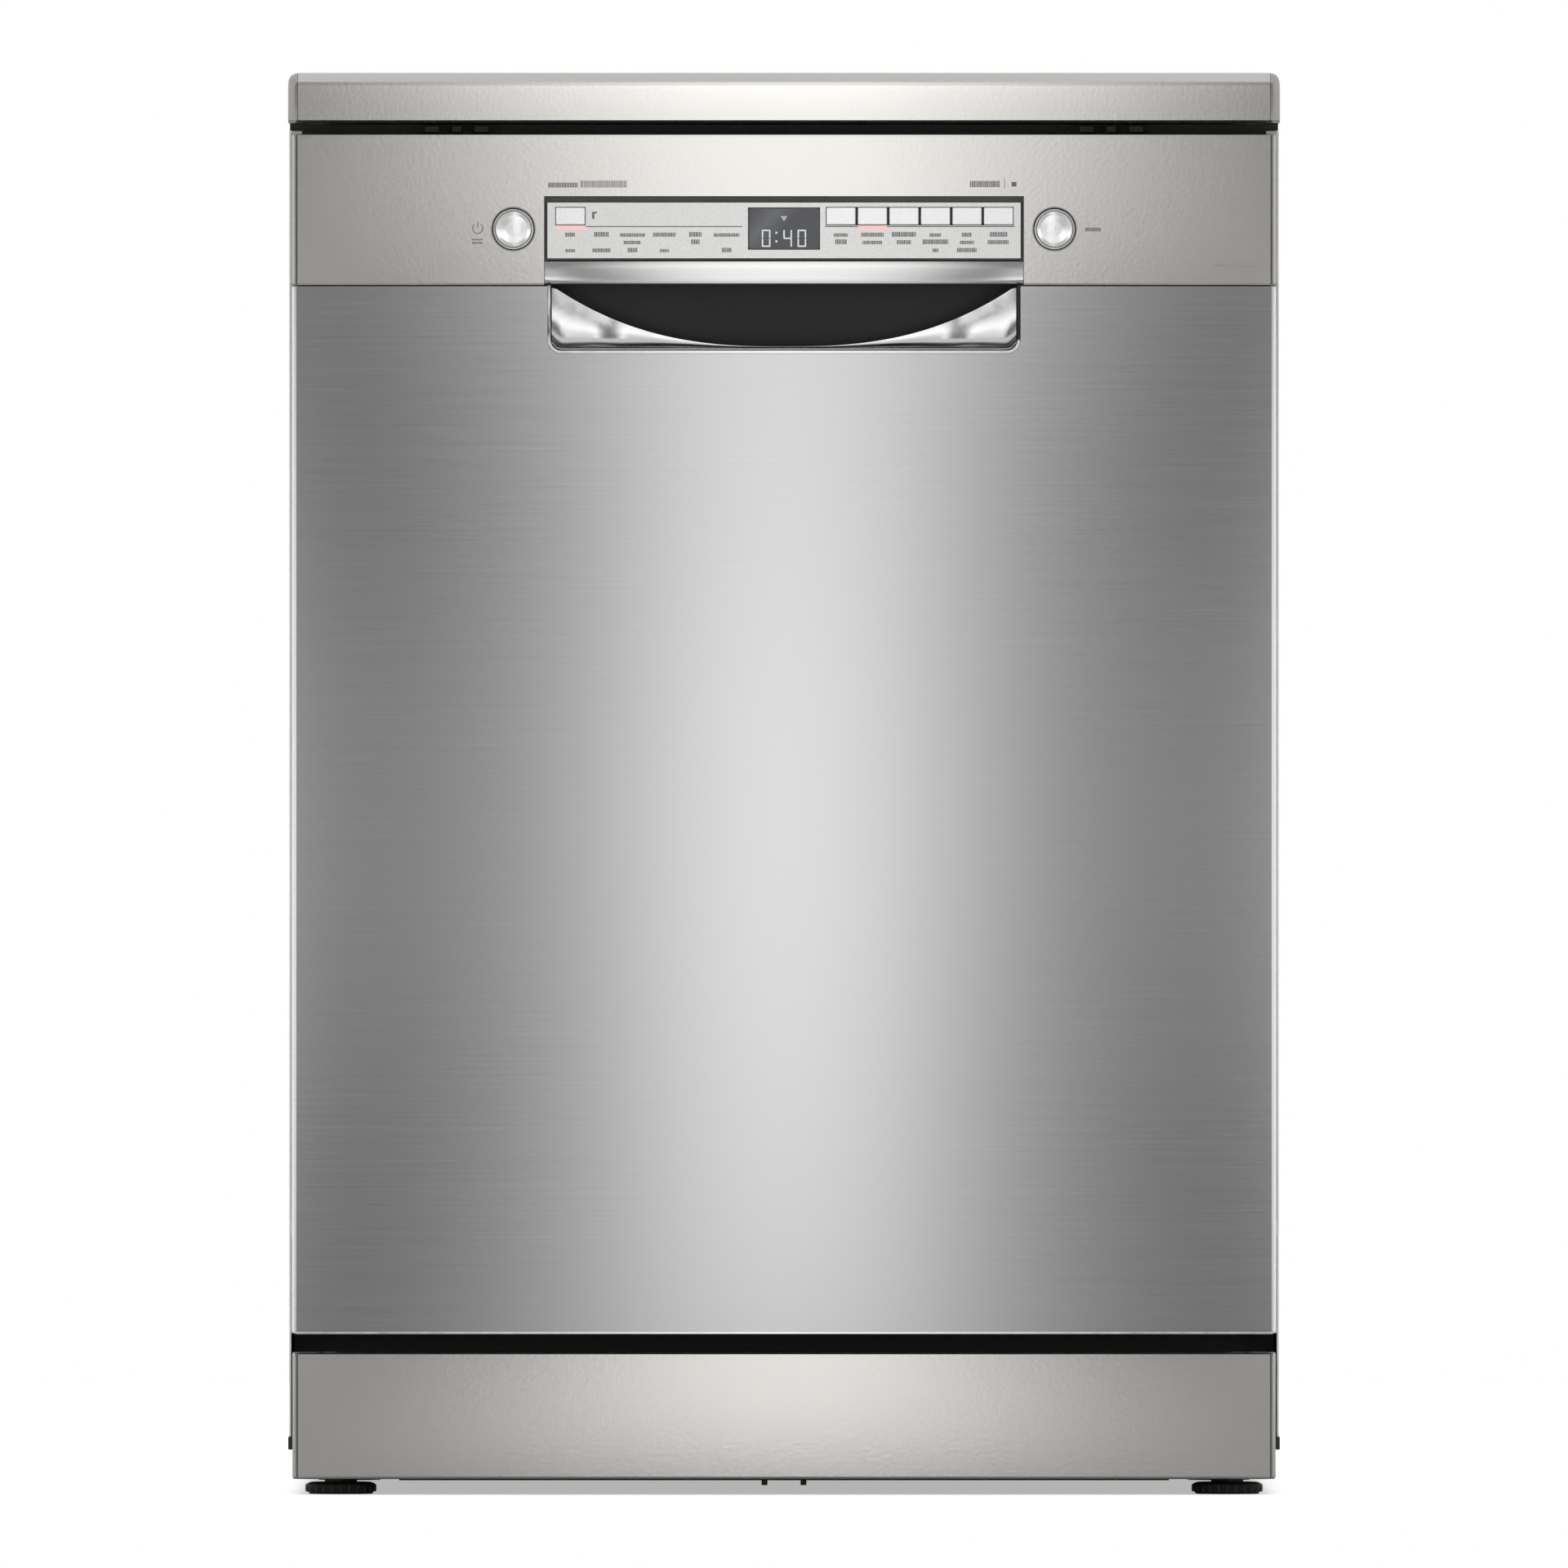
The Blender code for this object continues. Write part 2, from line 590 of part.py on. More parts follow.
def wire_tray(name, corners, across, along):
    """An open-topped basket of square wires: a grid floor, and one row of cells up each side."""
    low, high = Vector(corners[0]), Vector(corners[1])
    size, centre = high - low, (low + high) / 2
    bm = bmesh.new()
    bmesh.ops.create_grid(bm, x_segments=across, y_segments=along, size=0.5)
    bmesh.ops.scale(bm, vec=(size.x, size.y, 1), verts=bm.verts)
    rim = [edge for edge in bm.edges if edge.is_boundary]
    raised = bmesh.ops.extrude_edge_only(bm, edges=rim)["geom"]
    top = [v for v in raised if isinstance(v, bmesh.types.BMVert)]
    bmesh.ops.translate(bm, vec=(0, 0, size.z), verts=top)
    bmesh.ops.translate(bm, vec=(centre.x, centre.y, low.z), verts=bm.verts)
    obj = object_of(name, bm, (centre.x, centre.y, low.z))
    wires = obj.modifiers.new("wires", "WIREFRAME")
    wires.thickness = RACK_WIRE
    wires.offset = 0.0
    wires.use_even_offset = False
    wires.use_boundary = True
    return obj


def wheel_centre(side, end):
    return Vector((side * 0.2625, end * WHEEL_Y, TUB_Z[0] + GAP + WHEEL_R))


def lower_rack():
    rack = wire_tray("lower_rack", LOWER_RACK, 6, 6)
    stubs = []
    for side in (-1, 1):
        for end in (-1, 1):
            x, y, z = wheel_centre(side, end)
            inner, outer = sorted((side * 0.2508, side * 0.2550))
            label = f"{side}_{end}"
            bracket_low = (inner, y - 0.008, z - 0.006)
            stubs.append(box("wheel_bracket" + label, bracket_low, (outer, y + 0.008, 0.2135)))
            start = min(side * 0.2520, side * 0.2680)
            stubs.append(rod("wheel_axle" + label, (start, y, z), 0.0160, 0.0040, "X", sides=16))
    join(rack, *stubs)
    return part(rack, "wire")


def wheel(name, side, end):
    half, tyre, bore = WHEEL_T / 2, WHEEL_R, 0.0043
    profile = [(bore, half), (tyre - 0.002, half), (tyre, half - 0.002)]
    profile += [(tyre, 0.002 - half), (tyre - 0.002, -half), (bore, -half)]
    return part(turned(name, profile, wheel_centre(side, end), "X", steps=28), "grey")


def cutlery_basket():
    low, high = Vector(BASKET[0]), Vector(BASKET[1])
    basket = box("cutlery_basket", low, high)
    wall = Vector((BASKET_WALL, BASKET_WALL, BASKET_WALL))
    inside_high = (high.x - BASKET_WALL, high.y - BASKET_WALL, high.z + OVER)
    inside = box("basket_inside", low + wall, inside_high)
    return part(cut(basket, inside), "grey")


def rail(name, side):
    """A drawn steel rail beside the upper rack, with a channel along its inner face."""
    inner, outer = sorted(side * x for x in RAIL_X)
    bar = box(name, (inner, RAIL_Y[0], RAIL_Z[0]), (outer, RAIL_Y[1], RAIL_Z[1]))
    groove_inner, groove_outer = sorted((side * (RAIL_X[0] - 0.001), side * (RAIL_X[0] + 0.0045)))
    channel_low = (groove_inner, RAIL_Y[0] - OVER, RAIL_Z[0] + 0.0055)
    channel = box(name + "_channel", channel_low, (groove_outer, RAIL_Y[1] + OVER, RAIL_Z[1] - 0.0055))
    return part(cut(bar, channel), "zinc")


# ---------------------------------------------------------------- door


def door_outer_panel():
    """Brushed steel skin: a face bent back at both sides, cut out for the handle's recess."""
    x, y, back, r = DOOR_HALF_W - SHEET / 2, DOOR_FRONT_Y + SHEET / 2, -0.2600, 0.0022
    line = [(-x, back)]
    for side, start in ((-1, 180), (1, 270)):
        for i in range(4):
            angle = math.radians(start + 90 * i / 3)
            line.append((side * (x - r) + r * math.cos(angle), y + r + r * math.sin(angle)))
    line.append((x, back))
    panel = folded_sheet("door_outer_panel", line, DOOR_Z[0], PANEL_TOP_Z)
    edge = RECESS_HALF_W + 0.0005
    outline = rounded_rect(edge, RECESS_Z - 0.0005, PANEL_TOP_Z + OVER, RECESS_R)
    return part(cut(panel, prism("handle_cutout", outline, BEFORE_Y, -0.27, "Y")), "steel")


def door_liner():
    """The inner door: a flat plate towards the tub, stiffened by a box-shaped rim behind it."""
    wall, plate_y = LINER_T, DOOR_INNER_Y - LINER_T
    plate_high = (LINER_HALF_W, DOOR_INNER_Y, LINER_Z[1])
    plate = box("door_liner", (-LINER_HALF_W, plate_y, LINER_Z[0]), plate_high)
    rim_high = (RIM_HALF_W, DOOR_INNER_Y - 0.0005, RIM_Z[1])
    rim = box("liner_rim", (-RIM_HALF_W, RIM_Y, RIM_Z[0]), rim_high)
    inside_low = (wall - RIM_HALF_W, RIM_Y - OVER, RIM_Z[0] + wall)
    inside = box("liner_inside", inside_low, (RIM_HALF_W - wall, plate_y, RIM_Z[1] - wall))
    half, low_z, high_z = DISPENSER_HALF_W + 0.0005, DISPENSER_Z[0] - 0.0005, DISPENSER_Z[1] + 0.0005
    window = box("dispenser_cutout", (-half, THROUGH_Y, low_z), (half, DOOR_INNER_Y + OVER, high_z))
    join(plate, cut(rim, inside))
    return part(cut(plate, window), "steel")


def fascia():
    """The lacquered control panel: a tray open behind and below, cut out for its insert and buttons."""
    front, back, wall = DOOR_FRONT_Y, -0.2560, 0.0025
    low_z, high_z = PANEL_TOP_Z + 0.0004, DOOR_Z[1]
    shell = box("fascia", (-DOOR_HALF_W, front, low_z), (DOOR_HALF_W, back, high_z))
    bevel(shell, 0.0015, 2)
    inner_x = DOOR_HALF_W - wall
    inside_low = (-inner_x, front + wall, low_z - OVER)
    inside = box("fascia_inside", inside_low, (inner_x, back + OVER, high_z - wall))
    insert_low = (-INSERT_HALF_W, BEFORE_Y, low_z - OVER)
    insert = box("fascia_insert", insert_low, (INSERT_HALF_W, THROUGH_Y, INSERT_TOP_Z))
    cutters = [inside, insert]
    for side in (-1, 1):
        start = (side * ROUND_BUTTON_X, BEFORE_Y, ROUND_BUTTON_Z)
        cutters.append(rod(f"button_hole_{side}", start, 0.02, ROUND_HOLE_R, "Y", sides=32))
    cutters += side_grooves("fascia_groove", front, low_z, high_z)
    return part(cut(shell, *cutters), "silver")


def control_carrier():
    low = (-INSERT_HALF_W + GAP, CARRIER_Y[0], BAR_Z[0] - 0.0012)
    high = (INSERT_HALF_W - GAP, CARRIER_Y[1], INSERT_TOP_Z - GAP)
    return part(box("control_carrier", low, high), "black")


def control_bar():
    """The light strip that holds the keys and the display."""
    bar = box("control_bar", (-BAR_HALF_W, DOOR_FRONT_Y, BAR_Z[0]), (BAR_HALF_W, INSERT_FRONT_Y, BAR_Z[1]))
    low_z, high_z = KEY_Z[0] - KEY_MARGIN, KEY_Z[1] + KEY_MARGIN
    last = OPTION_X + (OPTION_COUNT - 1) * OPTION_PITCH
    reach = KEY_HALF_W + KEY_MARGIN
    slots = [
        (OPTION_X - reach, last + reach, low_z, high_z),
        (PROGRAM_X - reach, PROGRAM_X + reach, low_z, high_z),
        (-DISPLAY_HALF_W - GAP, DISPLAY_HALF_W + GAP, DISPLAY_Z[0] - GAP, DISPLAY_Z[1] + GAP),
    ]
    cutters = []
    for i, (x_low, x_high, z_low, z_high) in enumerate(slots):
        cutters.append(box(f"bar_slot_{i}", (x_low, BEFORE_Y, z_low), (x_high, THROUGH_Y, z_high)))
    return part(cut(bar, *cutters), "silver")


def display_window():
    low = (-DISPLAY_HALF_W, DOOR_FRONT_Y - 0.0001, DISPLAY_Z[0])
    pane = box("display_window", low, (DISPLAY_HALF_W, -0.2945, DISPLAY_Z[1]))
    return part(bevel(pane, 0.0004, 2), "window")


def key(name, x):
    """A rectangular key that stands 0.4 mm proud of the bar."""
    low = (x - KEY_HALF_W, DOOR_FRONT_Y - 0.0004, KEY_Z[0])
    made = box(name, low, (x + KEY_HALF_W, -0.2940, KEY_Z[1]))
    return part(bevel(made, 0.0005, 2), "silver")


def round_button(name, side):
    r, crown = ROUND_BUTTON_R, 0.0082
    profile = [(0, crown), (0.4 * r, crown - 0.0002), (0.75 * r, crown - 0.0007), (0.93 * r, crown - 0.0014)]
    profile += [(r, crown - 0.0024), (r, 0.0014), (ROUND_COLLAR_R, 0.0014), (ROUND_COLLAR_R, 0), (0, 0)]
    centre = (side * ROUND_BUTTON_X, -0.2912, ROUND_BUTTON_Z)
    made = turned(name, profile, centre, "Z", steps=32)
    made.matrix_world = Matrix.Translation(centre) @ Matrix.Rotation(math.radians(90), 4, "X")
    return part(made, "silver")


def handle_strip():
    """The bright bar over the recess, with its lower edge rolled in for the fingers."""
    low, high = STRIP_Z
    front, back = DOOR_FRONT_Y, INSERT_FRONT_Y
    outline = [(back, high), (front, high), (front - 0.0004, high - 0.0040), (front - 0.0002, high - 0.0080)]
    outline += [(front + 0.0010, low + 0.0015), (front + 0.0030, low), (back, low + 0.0006)]
    return part(prism("handle_strip", outline, -INSERT_HALF_W + GAP, INSERT_HALF_W - GAP), "chrome")


def handle_recess():
    """The dark pocket that the fingers reach into, deeper above than the strip that hides it."""
    half, back = RECESS_HALF_W, POCKET_BACK_Y + 0.0015
    outline = rounded_rect(half, RECESS_Z, POCKET_TOP_Z + 0.002, RECESS_R)
    body = prism("handle_recess", outline, -0.2975, back, "Y")
    step_low = (-half - OVER, BEFORE_Y, STRIP_Z[0] - 0.0008)
    step = box("recess_step", step_low, (half + OVER, -0.2875, POCKET_TOP_Z + 2 * OVER))
    hollow = rounded_rect(POCKET_HALF_W, POCKET_FLOOR, POCKET_TOP_Z, POCKET_R)
    pocket = prism("recess_pocket", hollow, BEFORE_Y, POCKET_BACK_Y, "Y")
    return part(cut(body, step, pocket), "black")


def scoop_height(x):
    """Top edge of the bright lower lip: nearly flat in the middle, swept up to both ends."""
    reach = min(abs(x) / 0.1385, 1.0)
    return 0.6945 + 0.0355 * reach**2.6


def handle_scoop():
    """A dished lip across the recess. Each cross-section leans back from the rim to its top edge."""
    half, stations = POCKET_HALF_W - 0.0006, 24
    bm = bmesh.new()
    rings = []
    for i in range(stations + 1):
        x = -half + 2 * half * i / stations
        inset = max(abs(x) - (POCKET_HALF_W - POCKET_R), 0.0)
        floor = POCKET_FLOOR + 2 * GAP + POCKET_R - math.sqrt(POCKET_R**2 - inset**2)
        top = max(scoop_height(x), floor + 0.0012)
        section = [(-0.2972, floor), (-0.2972, floor + 0.0005), (-0.2905, floor + 0.35 * (top - floor))]
        section += [(-0.2862, top), (-0.2850, top), (-0.2850, floor)]
        rings.append([bm.verts.new((x, y, z)) for y, z in section])
    for near, far in zip(rings, rings[1:]):
        for j in range(len(near)):
            k = (j + 1) % len(near)
            bm.faces.new((near[j], near[k], far[k], far[j]))
    bm.faces.new(rings[0])
    bm.faces.new(rings[-1])
    return part(object_of("handle_scoop", bm, (0, -0.2972, RECESS_Z)), "chrome")


def control_board():
    return part(box("control_board", (-0.135, -0.2888, 0.7600), (0.135, -0.2878, 0.7840)), "board")


def door_lock():
    body = bevel(box("door_lock", (-0.028, -0.276, 0.766), (0.028, -0.2520, 0.796)), 0.002, 2)
    slot = box("lock_slot", (-0.010, -0.262, 0.7780), (0.010, -0.24, 0.7840))
    return part(cut(body, slot), "dark_grey")


def hinge_arm(name, side):
    """Moving hinge half: a steel arm up inside the door, with a pin that runs in the fixed bracket."""
    x_low, x_high = sorted(side * x for x in ARM_X)
    y, z = HINGE.y, HINGE.z
    outline = [(y - 0.022, z + 0.012), (y - 0.010, z - 0.006), (y + 0.009, z - 0.002)]
    outline += [(y + 0.009, z + 0.190), (y - 0.022, z + 0.190)]
    arm = prism(name, outline, x_low, x_high)
    eye = rod(name + "_eye", (x_low, y, z), x_high - x_low, 0.0115, "X", sides=24)
    pin_start = min(side * (BRACKET_X[0] - 0.0015), side * (ARM_X[1] - 0.0005))
    pin = rod(name + "_pin", (pin_start, y, z), 0.0080, PIN_R, "X", sides=20)
    return part(join(arm, eye, pin), "zinc")


def dispenser_housing():
    """A moulded block in the liner, with the detergent cup, a lid track and the rinse-aid filler."""
    half, (low_z, high_z) = DISPENSER_HALF_W, DISPENSER_Z
    block = box("dispenser_housing", (-half, -0.2790, low_z), (half, DOOR_INNER_Y - 0.0004, high_z))
    bevel(block, 0.0010, 2)
    open_y = DOOR_INNER_Y + OVER
    track_high = (half - 0.0045, open_y, high_z - 0.0065)
    track = box("lid_track", (0.0045 - half, TRACK_Y, low_z + 0.0065), track_high)
    cup = box("detergent_cup", (CUP[0][0], -0.2750, CUP[0][1]), (CUP[1][0], open_y, CUP[1][1]))
    filler = rod("rinse_filler", (RINSE[0], -0.2700, RINSE[1]), 0.03, 0.0120, "Y", sides=24)
    return part(cut(block, track, cup, filler), "grey")


def detergent_lid():
    low = (CUP[0][0] - 0.003, TRACK_Y + GAP, CUP[0][1] - 0.003)
    lid = box("detergent_lid", low, (CUP[1][0] + 0.003, -0.2510, CUP[1][1] + 0.003))
    grip = box("lid_grip", (-0.0400, -0.2515, 0.520), (-0.0360, -0.2475, 0.570))
    return part(join(lid, grip), "dark_grey")


def rinse_aid_cap():
    x, z = RINSE
    cap = rod("rinse_aid_cap", (x, TRACK_Y + GAP, z), 0.0030, 0.0175, "Y", sides=28)
    plug = rod("rinse_plug", (x, -0.2620, z), 0.0095, 0.0110, "Y", sides=24)
    bar = box("rinse_bar", (x - 0.013, -0.2510, z - 0.002), (x + 0.013, -0.2472, z + 0.002))
    return part(join(cap, plug, bar), "white")


# ---------------------------------------------------------------- assembly


def cabinet():
    worktop()
    for name, side in (("side_panel_left", -1), ("side_panel_right", 1)):
        side_panel(name, side)
    back_panel()
    base_tray()
    plinth_panel()
    for end, y in zip(("front", "rear"), FOOT_Y):
        foot(f"foot_{end}_left", -FOOT_X, y)
        foot(f"foot_{end}_right", FOOT_X, y)
    hinge_bracket("hinge_bracket_left", -1)
    hinge_bracket("hinge_bracket_right", 1)
    water_inlet()
    mains_socket()


def wash_system():
    tub()
    tub_seal()
    sump()
    fine_filter()
    coarse_filter()
    salt_cap()
    softener_tank()
    circulation_pump()
    drain_pump()
    spray_feed_pipe()
    spray_arm("lower_spray_arm", 0.1880, 0.1800, 0.2030)


def racks():
    upper_frame = empty("upper_rack_frame", UPPER_RACK[0])
    rack = part(wire_tray("upper_rack", UPPER_RACK, 6, 6), "wire")
    carry(upper_frame, rack, spray_arm("upper_spray_arm", 0.4780, 0.4740, 0.4975))
    lower_frame = empty("lower_rack_frame", LOWER_RACK[0])
    carry(lower_frame, lower_rack(), cutlery_basket())
    for label, end in (("front", -1), ("rear", 1)):
        carry(lower_frame, wheel(f"wheel_{label}_left", -1, end), wheel(f"wheel_{label}_right", 1, end))
    rail("rail_left", -1)
    rail("rail_right", 1)


def door():
    door_frame = empty("door_axis", HINGE)
    pieces = [door_outer_panel(), door_liner(), fascia(), control_carrier(), control_bar()]
    pieces += [display_window(), handle_strip(), handle_recess(), handle_scoop(), control_board()]
    pieces += [door_lock(), hinge_arm("hinge_arm_left", -1), hinge_arm("hinge_arm_right", 1)]
    pieces += [dispenser_housing(), detergent_lid(), rinse_aid_cap()]
    pieces += [round_button("power_button", -1), round_button("start_button", 1)]
    pieces.append(key("program_button", PROGRAM_X))
    for i in range(OPTION_COUNT):
        pieces.append(key(f"option_button_{i + 1}", OPTION_X + i * OPTION_PITCH))
    carry(door_frame, *pieces)


cabinet()
wash_system()
racks()
door()
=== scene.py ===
"""Looks of the freestanding dishwasher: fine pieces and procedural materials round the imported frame.

Metres, +Z up, front towards -Y. Places come from the frame's own boxes.
"""

import json
import math

import bmesh
import bpy
from mathutils import Matrix, Vector


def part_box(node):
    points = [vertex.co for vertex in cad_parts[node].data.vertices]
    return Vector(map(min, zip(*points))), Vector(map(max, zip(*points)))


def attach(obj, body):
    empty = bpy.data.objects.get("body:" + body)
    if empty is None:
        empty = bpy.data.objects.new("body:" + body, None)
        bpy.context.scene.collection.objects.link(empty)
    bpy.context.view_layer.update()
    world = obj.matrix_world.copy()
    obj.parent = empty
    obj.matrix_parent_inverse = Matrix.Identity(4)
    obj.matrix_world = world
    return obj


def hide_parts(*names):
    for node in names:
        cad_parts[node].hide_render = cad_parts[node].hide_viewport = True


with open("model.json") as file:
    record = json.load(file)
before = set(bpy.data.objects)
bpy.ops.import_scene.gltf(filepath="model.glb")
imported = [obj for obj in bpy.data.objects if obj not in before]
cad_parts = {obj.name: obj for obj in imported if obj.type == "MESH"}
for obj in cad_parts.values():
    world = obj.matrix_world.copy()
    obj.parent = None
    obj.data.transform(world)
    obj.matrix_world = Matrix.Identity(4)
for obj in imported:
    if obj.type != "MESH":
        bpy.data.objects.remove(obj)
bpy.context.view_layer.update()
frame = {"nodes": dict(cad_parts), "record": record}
NODES = frame["nodes"]

# ---------------------------------------------------------------- node materials


class Look:
    """One procedural material, built node by node."""

    def __init__(self, name, **values):
        self.material = bpy.data.materials.new(name)
        self.material.use_nodes = True
        self.tree = self.material.node_tree
        self.shader = self.tree.nodes["Principled BSDF"]
        for socket, value in values.items():
            self.shader.inputs[socket.replace("_", " ")].default_value = value
        self.heights = []

    def node(self, kind, settings=None, **inputs):
        made = self.tree.nodes.new(kind)
        for key, value in (settings or {}).items():
            setattr(made, key, value)
        for key, value in inputs.items():
            socket = made.inputs[key.replace("_", " ")]
            if isinstance(value, bpy.types.NodeSocket):
                self.tree.links.new(value, socket)
            else:
                socket.default_value = value
        return made

    def place(self, stretch=(1, 1, 1), turn=(0, 0, 0)):
        """Object coordinates, stretched."""
        where = self.node("ShaderNodeTexCoord").outputs["Object"]
        return self.node("ShaderNodeMapping", Vector=where, Scale=stretch, Rotation=turn).outputs[0]

    def noise(self, scale, detail=2.0, stretch=(1, 1, 1), rough=0.5):
        return self.node("ShaderNodeTexNoise", Vector=self.place(stretch), Scale=scale, Detail=detail,
                         Roughness=rough).outputs["Fac"]

    def math(self, operation, a, b=0.0, c=0.0):
        made = self.tree.nodes.new("ShaderNodeMath")
        made.operation = operation
        for socket, value in zip(made.inputs, (a, b, c)):
            if isinstance(value, bpy.types.NodeSocket):
                self.tree.links.new(value, socket)
            else:
                socket.default_value = value
        return made.outputs[0]

    def span(self, value, low, high, out_low, out_high):
        """Maps low..high to out_low..out_high, clamped."""
        made = self.node("ShaderNodeMapRange", Value=value)
        for key, number in (("From Min", low), ("From Max", high), ("To Min", out_low),
                            ("To Max", out_high)):
            made.inputs[key].default_value = number
        return made.outputs[0]

    def blend(self, amount, first, second):
        """Mix of two colours or colour outputs."""
        made = self.tree.nodes.new("ShaderNodeMix")
        made.data_type = "RGBA"
        self.tree.links.new(amount, made.inputs[0])
        for socket, value in ((made.inputs[6], first), (made.inputs[7], second)):
            if isinstance(value, bpy.types.NodeSocket):
                self.tree.links.new(value, socket)
            else:
                socket.default_value = (*value, 1.0)
        return made.outputs[2]

    def into(self, socket, value):
        self.tree.links.new(value, self.shader.inputs[socket])
        return self

    def bump(self, height, strength, distance=0.001):
        """Adds a bump layer on top of those already made."""
        made = self.node("ShaderNodeBump", Height=height, Strength=strength, Distance=distance)
        if self.heights:
            self.tree.links.new(self.heights[-1], made.inputs["Normal"])
        self.heights.append(made.outputs[0])
        self.tree.links.new(made.outputs[0], self.shader.inputs["Normal"])
        return self


# Mixes two colours by a mask: random tone in most looks, a painted highlight band in smoked_window and
# painted shade in the holes of sieve.
def tone_and_painted_light(look, base, lighter_colour, mix_mask):
    look.into("Base Color", look.blend(mix_mask, base, lighter_colour))
    return look


def lacquer(name, base, roughness, metallic=0.96, fleck=0.90):
    """Silver metallic lacquer: fine flake under a clear coat, with a trace of orange peel."""
    look = Look(name, Metallic=metallic, Coat_Weight=0.15, Coat_Roughness=0.18)
    flake = look.noise(5200, 1.0)
    cloud = look.noise(9, 3.0)
    darker = tuple(fleck * c for c in base)
    tone = look.span(look.math("ADD", flake, look.math("MULTIPLY", cloud, 0.35)), 0.45, 0.95, 0, 1)
    tone_and_painted_light(look, darker, base, tone)
    look.into("Roughness", look.span(flake, 0.3, 0.7, roughness - 0.03, roughness + 0.04))
    look.bump(look.noise(420, 1.0), 0.035, 0.0004)
    return look.bump(flake, 0.05, 0.0001).material


def brushed(name, base, roughness, along=(9, 9, 1300), anisotropic=0.82, rotation=0.25, axis="Z"):
    """Steel with long fine scratches; the tangent follows them, so highlights spread across the grain."""
    look = Look(name, Metallic=1.0, Anisotropic=anisotropic, Anisotropic_Rotation=rotation)
    grain = look.noise(1.0, 4.0, along, 0.72)
    fine = look.noise(2.3, 2.0, tuple(2.2 * s for s in along), 0.6)
    streak = look.math("ADD", look.math("MULTIPLY", grain, 0.6), look.math("MULTIPLY", fine, 0.4))
    low = tuple(0.97 * c for c in base)
    high = tuple(min(1.0, 1.02 * c) for c in base)
    tone_and_painted_light(look, low, high, look.span(streak, 0.34, 0.66, 0, 1))
    look.into("Roughness", look.span(streak, 0.3, 0.7, roughness - 0.015, roughness + 0.02))
    tangent = look.node("ShaderNodeTangent", {"direction_type": "RADIAL", "axis": axis}).outputs[0]
    look.into("Tangent", tangent)
    return look.bump(streak, 0.012, 0.0002).material


def satin_steel(name, base, roughness):
    """Stainless sheet with a satin finish, faint rolling marks and water bloom."""
    look = Look(name, Metallic=1.0)
    cloud = look.noise(6, 2.0)
    rolled = look.noise(1.0, 3.0, (900, 900, 30))
    tone_and_painted_light(look, tuple(0.95 * c for c in base), base, look.span(cloud, 0.3, 0.7, 0, 1))
    mixed = look.math("ADD", look.math("MULTIPLY", cloud, 0.5), look.math("MULTIPLY", rolled, 0.5))
    look.into("Roughness", look.span(mixed, 0.35, 0.65, roughness - 0.02, roughness + 0.03))
    return look.bump(rolled, 0.02, 0.0002).material


def galvanised(name, base):
    look = Look(name, Metallic=0.95)
    spangle = look.node("ShaderNodeTexVoronoi", Vector=look.place(), Scale=95.0).outputs["Color"]
    grey = look.node("ShaderNodeRGBToBW", Color=spangle).outputs[0]
    tone_and_painted_light(look, tuple(0.78 * c for c in base), base, grey)
    look.into("Roughness", look.span(grey, 0.2, 0.8, 0.32, 0.50))
    return look.bump(look.noise(60, 3.0), 0.08, 0.0005).material


def moulded(name, base, roughness=0.48, grain=1400, depth=0.16):
    """Moulded plastic with a fine spark-eroded grain and slight tone variation."""
    look = Look(name, Specular_IOR_Level=0.45)
    texture = look.noise(grain, 2.0)
    cloud = look.noise(18, 2.0)
    tone_and_painted_light(look, tuple(0.88 * c for c in base), tuple(min(1.0, 1.06 * c) for c in base),
         look.span(cloud, 0.35, 0.65, 0, 1))
    look.into("Roughness", look.span(texture, 0.3, 0.7, roughness - 0.05, roughness + 0.06))
    return look.bump(texture, depth, 0.0002).material


def soft_rubber(name):
    look = Look(name, Specular_IOR_Level=0.35)
    bloom = look.noise(55, 4.0)
    tone_and_painted_light(look, (0.022, 0.022, 0.023), (0.050, 0.050, 0.052), look.span(bloom, 0.4, 0.7, 0, 1))
    look.into("Roughness", look.span(bloom, 0.3, 0.7, 0.70, 0.86))
    return look.bump(look.noise(900, 2.0), 0.15, 0.0002).material


def bright_trim(name, base, roughness):
    """Metallised plastic trim, bright, with a faint ripple."""
    look = Look(name, Metallic=1.0)
    ripple = look.noise(130, 2.0)
    tone_and_painted_light(look, tuple(0.93 * c for c in base), base, look.span(ripple, 0.35, 0.65, 0, 1))
    look.into("Roughness", look.span(ripple, 0.3, 0.7, roughness - 0.03, roughness + 0.04))
    return look.bump(ripple, 0.03, 0.0003).material


def smoked_window(name):
    """Tinted display window: gloss front with a soft diagonal sheen band painted into its colour, a painted
    highlight.
    """
    look = Look(name, Coat_Weight=0.6, Coat_Roughness=0.05)
    x, z = (look.node("ShaderNodeSeparateXYZ", Vector=look.place()).outputs[i] for i in (0, 2))
    slant = look.math("ADD", look.math("MULTIPLY", x, 1.0), look.math("MULTIPLY", z, -0.9))
    band = look.span(look.math("ABSOLUTE", look.math("SUBTRACT", slant, -0.703)), 0.0, 0.014, 1, 0)
    # painted highlight: the lighter colour on the diagonal band is painted into the base colour, not lit
    tone_and_painted_light(look, (0.022, 0.024, 0.028), (0.085, 0.088, 0.094), band)
    look.into("Roughness", look.span(look.noise(300, 2.0), 0.3, 0.7, 0.10, 0.16))
    return look.material


